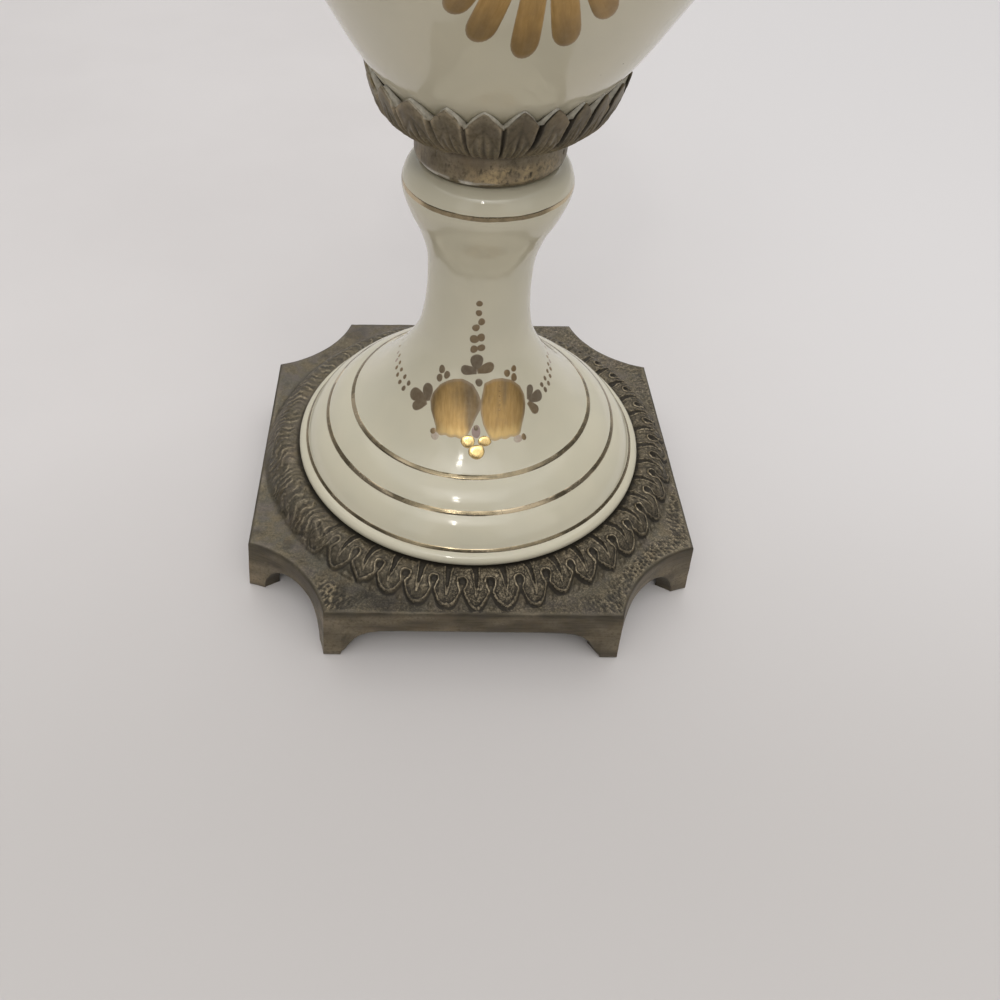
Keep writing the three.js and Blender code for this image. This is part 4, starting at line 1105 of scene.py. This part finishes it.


def leaf_cup():
    n = LEAVES * 40
    th = np.arange(n) / n * TAU
    front = np.degrees(th) + 90.0  # from the front, -Y, towards +X
    facing = (front + 180.0) % 360.0 - 180.0
    rest = (360.0 - (LEAF_GAPS[-1] - LEAF_GAPS[0])) / (LEAVES - len(LEAF_GAPS) + 1)
    back = [LEAF_GAPS[-1] + rest * k for k in range(1, LEAVES - len(LEAF_GAPS) + 2)]
    gaps = np.array(LEAF_GAPS + back)

    def leaves(t):
        """Which leaf, where across it (0 down its middle, 1 at its edges) and which side of it, t of the way up the cup."""
        f = facing + 5.5 * (1 - t) * np.sin(np.radians(2 * facing)) + 1.5 * (1 - t) * noise(np.stack([facing / 14.0, 0 * facing, 0 * facing], -1), 1.0, 4)
        ph = np.interp((f - gaps[0]) % 360.0 + gaps[0], gaps, np.arange(LEAVES + 1.0))
        idx = np.floor(ph).astype(np.int64) % LEAVES
        q = ph - np.floor(ph)
        centre = 0.5 + 0.035 * lattice(idx, 0 * idx, 0 * idx, 5)
        a = np.clip(np.where(q < centre, (centre - q) / centre, (q - centre) / (1 - centre)), 0, 1)
        return idx, a, np.where(q < centre, -1.0, 1.0)

    idx, a, side = leaves(1.0)
    pick = lambda seed: lattice(idx, 0 * idx, 0 * idx, seed)
    b = Build()
    collar = curve([(14.6, 103.75), (15.4, 103.95), (15.95, 104.7), (16.1, 105.7), (15.95, 107.2), (15.85, 108.8), (15.9, 109.9)], 0.34)
    cup = curve([(15.9, 109.9), (17.0, 110.5), (19.4, 111.7), (21.7, 113.3), (23.6, 115.4), (24.6, 117.6), (25.2, 119.8), (25.62, 122.3)], 0.25)
    rows, wear_and_highlight_rows, grime_and_shade_rows, brasses, cement_and_highlight_rows, film_and_sheen_rows = [], [], [], [], [], []

    def push(r, z, w=0.0, g=0.0, brass=0.0, filler=0.0, film=0.3):
        rows.append(np.stack([r * np.cos(th), r * np.sin(th), z * np.ones(n)], -1))
        for store, value in ((wear_and_highlight_rows, w), (grime_and_shade_rows, g), (brasses, brass), (cement_and_highlight_rows, filler), (film_and_sheen_rows, film)):
            store.append(np.clip(value, 0, 1) * np.ones(n))

    P = lambda r, z: np.stack([r * np.cos(th), r * np.sin(th), z + 0 * th], -1)
    for k, (r, z) in enumerate(collar):
        p = P(r, z)
        pits = smooth(0.40, 0.70, noise(p, 0.9, 92, 3))
        dent = 0.09 * noise(p, 1.8, 91, 3) - 0.22 * pits
        bare = np.exp(-(((facing - 12) / 30.0) ** 2)) * smooth(104.3, 105.2, z) * smooth(108.6, 107.0, z)
        joint = 0.9 * smooth(105.1, 104.7, z) * smooth(103.9, 104.1, z) * smooth(-75, -55, facing) * smooth(8, -10, facing) * smooth(-0.55, -0.1, noise(p, 2.0, 96))
        push(r + dent, z, 0.15 + 0.20 * noise(p, 3.0, 93, 2) + 0.25 * smooth(104.6, 104.0, z), 0.45 * smooth(108.8, 109.9, z) + 0.6 * pits, 1.0 * bare * (0.55 + 0.6 * noise(p, 2.2, 97, 2)) * (1 - pits), joint)
    L = Line(cup)
    drop_ = CUP_NOTCH * (0.90 * a ** 1.25 + 0.10 * a ** 4) * (1 + 0.10 * pick(7)) + 0.5 * (1 + pick(8)) * 0.5 + 0.5 * smooth(0, -30, facing) * smooth(-110, -60, facing)
    full = L.s[-1]
    rows_up = np.linspace(0, 1, 54)[1:]
    for t in rows_up:
        idx, a, side = leaves(t)
        strength = 1 + 0.25 * pick(6)
        shade = smooth(-5, 12, facing) * smooth(95, 70, facing)  # painted shade: the right of the front is darker between the leaves
        s = t * (full - drop_ * 1.04)
        r, z = L.at(s)
        nr, nz = L.normal(s)
        grow = smooth(0.02, 0.26, t)
        seam = np.exp(-(((1 - a) / (0.070 + 0.05 * t)) ** 2)) * (0.55 + 0.45 * shade + 0.35 * pick(9))
        lip = np.exp(-(((a - 0.82) / 0.085) ** 2))
        vein = np.exp(-((a / 0.075) ** 2)) * smooth(0.86, 0.62, t) * smooth(0.06, 0.25, t)
        cheek = np.exp(-(((a - 0.23) / 0.10) ** 2)) * smooth(0.84, 0.55, t) * smooth(0.08, 0.3, t)
        hollow = np.exp(-(((a - 0.46) / 0.11) ** 2)) * smooth(0.80, 0.45, t) * smooth(0.10, 0.3, t)
        paren = np.exp(-(((a - 0.66 + 0.12 * (t - 0.35)) / 0.075) ** 2)) * smooth(0.70, 0.52, t) * smooth(0.12, 0.26, t)
        # a line that follows the leaf's edge a little way below the tip
        under = np.exp(-(((t - (0.80 - 0.26 * a ** 1.6)) / 0.035) ** 2)) * smooth(0.95, 0.7, a)
        swell = (1 - a ** 2) * smooth(0.10, 0.7, t)
        tip = smooth(0.80, 1.0, t) * (1 - 0.5 * a)
        h = grow * strength * (-0.55 * seam + 0.20 * lip - 0.26 * vein + 0.24 * cheek - 0.12 * hollow + 0.30 * paren - 0.10 * under) + 0.30 * swell + 0.14 * tip
        p = P(r, z)
        h = h + 0.07 * noise(p, 1.1, 94, 2) + 0.13 * noise(p, 3.0, 95, 2)
        # rubbed on the raised parts; the leaf tips drawn lighter, most on the left-hand leaves, as a painted highlight
        wv = (0.32 * lip + 0.28 * cheek + 0.32 * paren + (0.18 + 0.22 * smooth(14, -6, facing)) * smooth(0.90, 1.0, t) * (1 - seam)) * grow * (0.8 + 0.6 * noise(p, 2.4, 98, 2)) + 0.10
        # dark down the seams, vein and hollows and at the leaves' foot, partly dirt, partly painted shade; painted
        # shade also on each leaf's left half right of the front
        gv = 0.85 * seam * grow + 0.55 * vein + 0.25 * hollow + 0.25 * under + 0.45 * (1 - grow) + 1.0 * shade * (side < 0) * np.exp(-(((1 - a) / (0.22 + 0.16 * smooth(0.75, 0.95, t))) ** 2)) * smooth(0.45, 0.75, t) + 0.10 + 0.25 * noise(p, 4.0, 88)
        push(r + nr * h, z + nz * h, wv, gv)
    # over the leaf's edge, down a shallow pocket behind it, then in against the porcelain
    r_e, z_e = np.hypot(rows[-1][:, 0], rows[-1][:, 1]), rows[-1][:, 2]
    r_body = lambda z: np.interp(z, [111.2, 113.8, 119.8, 122.4, 123.2], [13.9, 18.7, 23.5, 25.25, 25.9])
    lefty = smooth(14, -6, facing) * smooth(-115, -95, facing)
    # the right-hand leaves are cut back thick on their right, and that edge is white
    thick = 0.62 + 0.85 * (1 - lefty) * (side > 0) * smooth(0.35, 0.75, a)
    r_in = np.maximum(r_e - thick, r_body(z_e) + 0.06)
    ragged = smooth(-0.5, 0.1, noise(P(r_e, z_e), 1.4, 89))
    notch = smooth(0.35, 0.75, a)
    away_shade = (1 - lefty) * (side < 0) * smooth(0.08, 0.35, a)  # painted shade: the left of each right-hand leaf turns away from the light
    white = (1 - lefty) * (side > 0) * smooth(0.30, 0.60, a)  # and the cement has crept over the right of it
    # the top of the leaf's edge: painted highlight on the left-hand leaves, partly white cement; white cement over the
    # right of the right-hand ones; painted shade on their turned-away left
    push(r_e - 0.16, z_e + 0.13, 0.12 + 0.58 * lefty, 1.0 * away_shade, filler=0.50 * lefty * ragged + 0.55 * white)
    push(r_in + 0.14, z_e + 0.13, 0.10 + 0.50 * lefty, 1.0 * away_shade, filler=0.85 * lefty * ragged + 0.90 * white)
    push(r_in, z_e - 0.02, 0.15, 0.30 + 0.6 * away_shade, filler=0.10 + 0.65 * lefty + 0.8 * white)
    # old white cement shows between the leaf and the porcelain in the notches
    room = r_in - r_body(z_e)
    bed = smooth(0.06, 0.35, room)
    lump = 0.10 * noise(P(r_in, z_e), 1.0, 99, 2)
    push(r_in - 0.06, z_e - 0.16, 0.0, 0.10, filler=bed)
    push(r_in - 0.45 * room, z_e - 0.05 + 0.12 * bed + lump * bed, 0.0, 0.0, filler=bed)
    z_q = z_e + 0.30 * bed - 0.1
    push(r_body(z_q), z_q, 0.0, 0.12, filler=bed)
    for f in (0.75, 0.5, 0.25, 0.0):
        z = 111.25 + (z_q - 111.25) * f
        push(r_body(z), z, 0.0, 0.8)
    V = np.vstack(rows)
    total = len(rows)
    quads = ring_quads(total, n)
    k = len(V)
    V = np.vstack([V, [(0, 0, 103.75), (0, 0, 111.2)]])
    tail = lambda parts: np.r_[np.concatenate(parts), 0, 0]
    b.add(V, [(quads, 0), (fan(k, 0, n, flip=True), 0), (fan(k + 1, (total - 1) * n, n), 0)], wear=tail(wear_and_highlight_rows), grime=tail(grime_and_shade_rows), brass=tail(brasses), filler=tail(cement_and_highlight_rows), film=tail(film_and_sheen_rows))
    ob = b.object("bronze_leaf_cup", [BRONZE], smooth_angle=70)
    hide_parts("leaf_cup")
    return ob


# ---- rim ring, lid, finial -------------------------------------------------
def turned_bronze(name, node, points, n, poles, seed):
    b = Build()
    path = curve(points, 0.35)
    zc = path[:, 1]
    turn(b, path, n, first_pole=poles[0], last_pole=poles[1], wobble=0.05, seed=seed)
    V = b.v[0]
    out = np.hypot(V[:, 0], V[:, 1])
    far = smooth(out.max() * 0.86, out.max() * 1.0, out)
    b.attr["wear"] = [np.clip(0.10 + 0.38 * far, 0, 1)]
    b.attr["grime"] = [np.clip(0.25 * (1 - far), 0, 1)]
    b.attr["side"] = [np.ones(b.n)]
    b.attr["film"] = [np.full(b.n, 0.35)]
    ob = b.object(name, [BRONZE], smooth_angle=50)
    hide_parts(node)
    return ob


def top_mounts():
    z = MOUTH_Z + GAP
    turned_bronze("bronze_rim_ring", "rim_ring", [(25.8, z + 7.5), (25.8, z + 0.3), (26.2, z), (29.6, z), (30.4, z + 0.35), (31.7, z + 1.3), (32.45, z + 2.6), (32.5, z + 3.9), (31.9, z + 5.2), (30.8, z + 6.1), (30.3, z + 6.8), (30.1, z + 7.6), (26.2, z + 7.7)], 256, (None, None), 12)
    z = FINIAL_Z
    turned_bronze("bronze_finial", "finial", [(8.2, z), (8.9, z + 0.3), (9.2, z + 1.1), (8.8, z + 1.9), (7.4, z + 2.6), (5.2, z + 3.8), (3.9, z + 5.4), (3.6, z + 7.0), (4.4, z + 8.2), (6.2, z + 9.4), (8.2, z + 11.6), (9.4, z + 14.2), (9.8, z + 16.8), (9.3, z + 19.6), (8.0, z + 22.4), (6.0, z + 25.0), (4.2, z + 27.0), (2.8, z + 29.0), (1.7, z + 30.6), (0.6, z + 31.3)], 128, (z, z + 31.4), 13)


def lid():
    z = LID_Z
    outside = np.vstack([curve([(30.2, z), (31.2, z + 0.45), (31.7, z + 1.4), (31.4, z + 2.5), (30.2, z + 3.3), (29.2, z + 4.2)], 0.3)[:-1], curve([(29.2, z + 4.2), (28.4, z + 6.0), (26.6, z + 8.6), (22.0, z + 13.2), (15.6, z + 17.4), (10.4, z + 19.7), (8.4, z + 21.3), (7.8, z + 22.7), (7.8, z + 23.3), (7.4, z + 23.4)], 0.6)])
    line = Line(outside)
    lines = [(line.s_at_z(z + 5.6), 0.45), (line.s_at_z(z + 18.6), 0.4)]
    s_all = line.s
    for s, h in lines:
        s_all = s_all[(s_all < s - h - 0.1) | (s_all > s + h + 0.1)]
        s_all = np.unique(np.r_[s_all, s - h, s - h + 0.12, s + h - 0.12, s + h])
    r, zz = line.at(s_all)
    nr, nz = line.normal(s_all, 0.3)
    lift, mats, edge = np.zeros(len(s_all)), np.zeros(len(s_all), int), np.zeros(len(s_all))
    for s, h in lines:
        lift += np.where(np.abs(s_all - s) < h - 0.05, 0.06, 0.0)
        mats[(s_all >= s - h - 1e-6) & (s_all < s + h - 1e-6)] = 1
    out = np.stack([r + nr * lift, zz + nz * lift], -1)
    under = curve([(3.0, z + 17.3), (9.0, z + 16.2), (18.4, z + 10.8), (22.0, z + 6.6), (22.8, z + 3.0), (22.8, z - 4.0)], 0.9)
    path = np.vstack([under, [(23.2, z - 4.6), (24.8, z - 4.6), (25.2, z - 4.2), (25.2, z - 0.1), (25.5, z)], out])
    mat_rows = np.r_[np.full(len(under) + 4, 2), np.zeros(1, int), mats][: len(path) - 1]
    b = Build()
    turn(b, path, 256, mats=mat_rows, first_pole=z + 17.4, last_pole=z + 23.4, wobble=0.05, seed=15, edge=np.r_[np.zeros(len(path) - len(edge)), edge])
    b.attr["tone"] = [np.zeros(b.n)]
    ob = b.object("urn_lid", [PORCELAIN, GILT_LINE, BISCUIT], smooth_angle=40)
    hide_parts("lid")
    return ob


pedestal()
body()
base_plinth()
leaf_cup()
top_mounts()
lid()


# ---- floor, light, camera --------------------------------------------------
def floor():
    me = bpy.data.meshes.new("floor")
    s = 3.0
    me.from_pydata([(-s, -s, 0), (s, -s, 0), (s, s, 0), (-s, s, 0)], [], [(0, 1, 2, 3)])
    ob = bpy.data.objects.new("floor", me)
    bpy.context.scene.collection.objects.link(ob)
    n = Nodes("floor_paint")
    back = n.t.nodes.new("ShaderNodeSeparateXYZ")
    n.link(n.mm, back.inputs[0])
    col = n.mix(n.span(n.noise(120.0, 3), 0.3, 0.7), (0.698, 0.666, 0.648), (0.726, 0.694, 0.676))
    # painted light: lighter to the right; painted shade: darker towards the front
    col = n.mix(n.span(back.outputs["X"], -60.0, 220.0), col, (0.752, 0.728, 0.716))
    col = n.mix(n.span(back.outputs["Y"], -125.0, 40.0, 0.85, 0.0), col, (0.590, 0.560, 0.536))
    n.set(Base_Color=col, Roughness=0.6)
    n.bsdf.inputs["Specular IOR Level"].default_value = 0.3
    me.materials.append(n.mat)


def area(name, place, aim, size, power, colour=(1, 1, 1), size_y=None, spread=None):
    d = bpy.data.lights.new(name, "AREA")
    d.shape = "RECTANGLE" if size_y else "SQUARE"
    d.size = size
    if size_y:
        d.size_y = size_y
    d.energy = power
    d.color = colour
    if spread:
        d.spread = math.radians(spread)
    o = bpy.data.objects.new(name, d)
    o.location = place
    o.rotation_mode = "QUATERNION"
    o.rotation_quaternion = (Vector(aim) - Vector(place)).to_track_quat("-Z", "Y")
    bpy.context.scene.collection.objects.link(o)
    return o


def light():
    """A dim room in front, open light above and behind, two soft panels, a high window and two small lamps in front."""
    w = bpy.data.worlds.new("studio")
    bpy.context.scene.world = w
    w.use_nodes = True
    t = w.node_tree
    t.nodes.clear()
    out = t.nodes.new("ShaderNodeOutputWorld")
    bg = t.nodes.new("ShaderNodeBackground")
    tc = t.nodes.new("ShaderNodeTexCoord")
    sep = t.nodes.new("ShaderNodeSeparateXYZ")
    t.links.new(tc.outputs["Generated"], sep.inputs[0])

    def step(axis, a, b, c, d):
        m = t.nodes.new("ShaderNodeMapRange")
        m.interpolation_type = "SMOOTHSTEP"
        for name, v in (("From Min", a), ("From Max", b), ("To Min", c), ("To Max", d)):
            m.inputs[name].default_value = v
        t.links.new(sep.outputs[axis], m.inputs["Value"])
        return m.outputs["Result"]

    add = t.nodes.new("ShaderNodeMath")
    add.operation = "ADD"
    t.links.new(step("Y", 0.0, 0.75, 0.18, 0.50), add.inputs[0])
    t.links.new(step("Z", 0.62, 0.82, 0.0, 1.02), add.inputs[1])
    t.links.new(add.outputs[0], bg.inputs["Strength"])
    bg.inputs["Color"].default_value = (0.985, 0.985, 1.0, 1)
    t.links.new(bg.outputs[0], out.inputs[0])

    def aim(az, el, dist=1.5, z=0.04):
        a, e = math.radians(az), math.radians(el)
        return (math.sin(a) * math.cos(e) * dist, -math.cos(a) * math.cos(e) * dist, z + math.sin(e) * dist)

    area("panel_right", aim(40, 28), (0, 0, 0.04), 0.95, 0.95 * 0.80 * math.pi * 0.62, (1.0, 0.985, 0.96), size_y=0.80)
    area("panel_left", aim(-33, 28), (0, 0, 0.04), 0.50, 0.50 * 0.80 * math.pi * 0.60, (1.0, 0.985, 0.96), size_y=0.80)
    area("lamp_a", aim(-10.5, 53.2), (0, 0, 0.04), 0.080, 0.080 * 0.075 * math.pi * 32, (1.0, 0.97, 0.92), size_y=0.075)
    area("lamp_b", aim(-10.0, 48.6), (0, 0, 0.04), 0.066, 0.066 * 0.075 * math.pi * 32, (1.0, 0.97, 0.92), size_y=0.075)
    area("window", aim(-2, 58), (0, 0, 0.04), 1.30, 1.30 * 0.56 * math.pi * 0.79, (1.0, 0.99, 0.985), size_y=0.56)
    area("window_middle", aim(-6, 58, 1.45), (0, 0, 0.04), 0.80, 0.80 * 0.32 * math.pi * 0.58, (1.0, 0.99, 0.985), size_y=0.32)
    area("window_bright", aim(-9, 58, 1.40), (0, 0, 0.04), 0.34, 0.34 * 0.16 * math.pi * 0.95, (1.0, 0.99, 0.985), size_y=0.16)
    area("back_panel", (0.15, 1.15, 1.25), (0, 0, 0.0), 2.0, 2.0 * 1.1 * math.pi * 0.45, (1.0, 0.99, 0.98), size_y=1.1)


def camera():
    cam = bpy.data.objects.new("camera", bpy.data.cameras.new("camera"))
    right = Vector((0.999916, 0.012967, 0.0))
    up = Vector((-0.010193, 0.786043, 0.618088))
    ahead = Vector((-0.008015, 0.618036, -0.786109))
    m = Matrix((right, up, -ahead)).transposed().to_4x4()
    m.translation = Vector((-15.03, -167.01, 180.27)) * MM
    cam.matrix_world = m
    cam.data.sensor_width = 36.0
    cam.data.lens = 27.754
    cam.data.shift_x = 0.09153
    cam.data.shift_y = 0.04791
    cam.data.clip_start, cam.data.clip_end = 0.005, 20
    bpy.context.scene.collection.objects.link(cam)
    bpy.context.scene.camera = cam


floor()
light()
camera()
bpy.context.scene.view_settings.view_transform = "Standard"
bpy.context.scene.view_settings.look = "None"
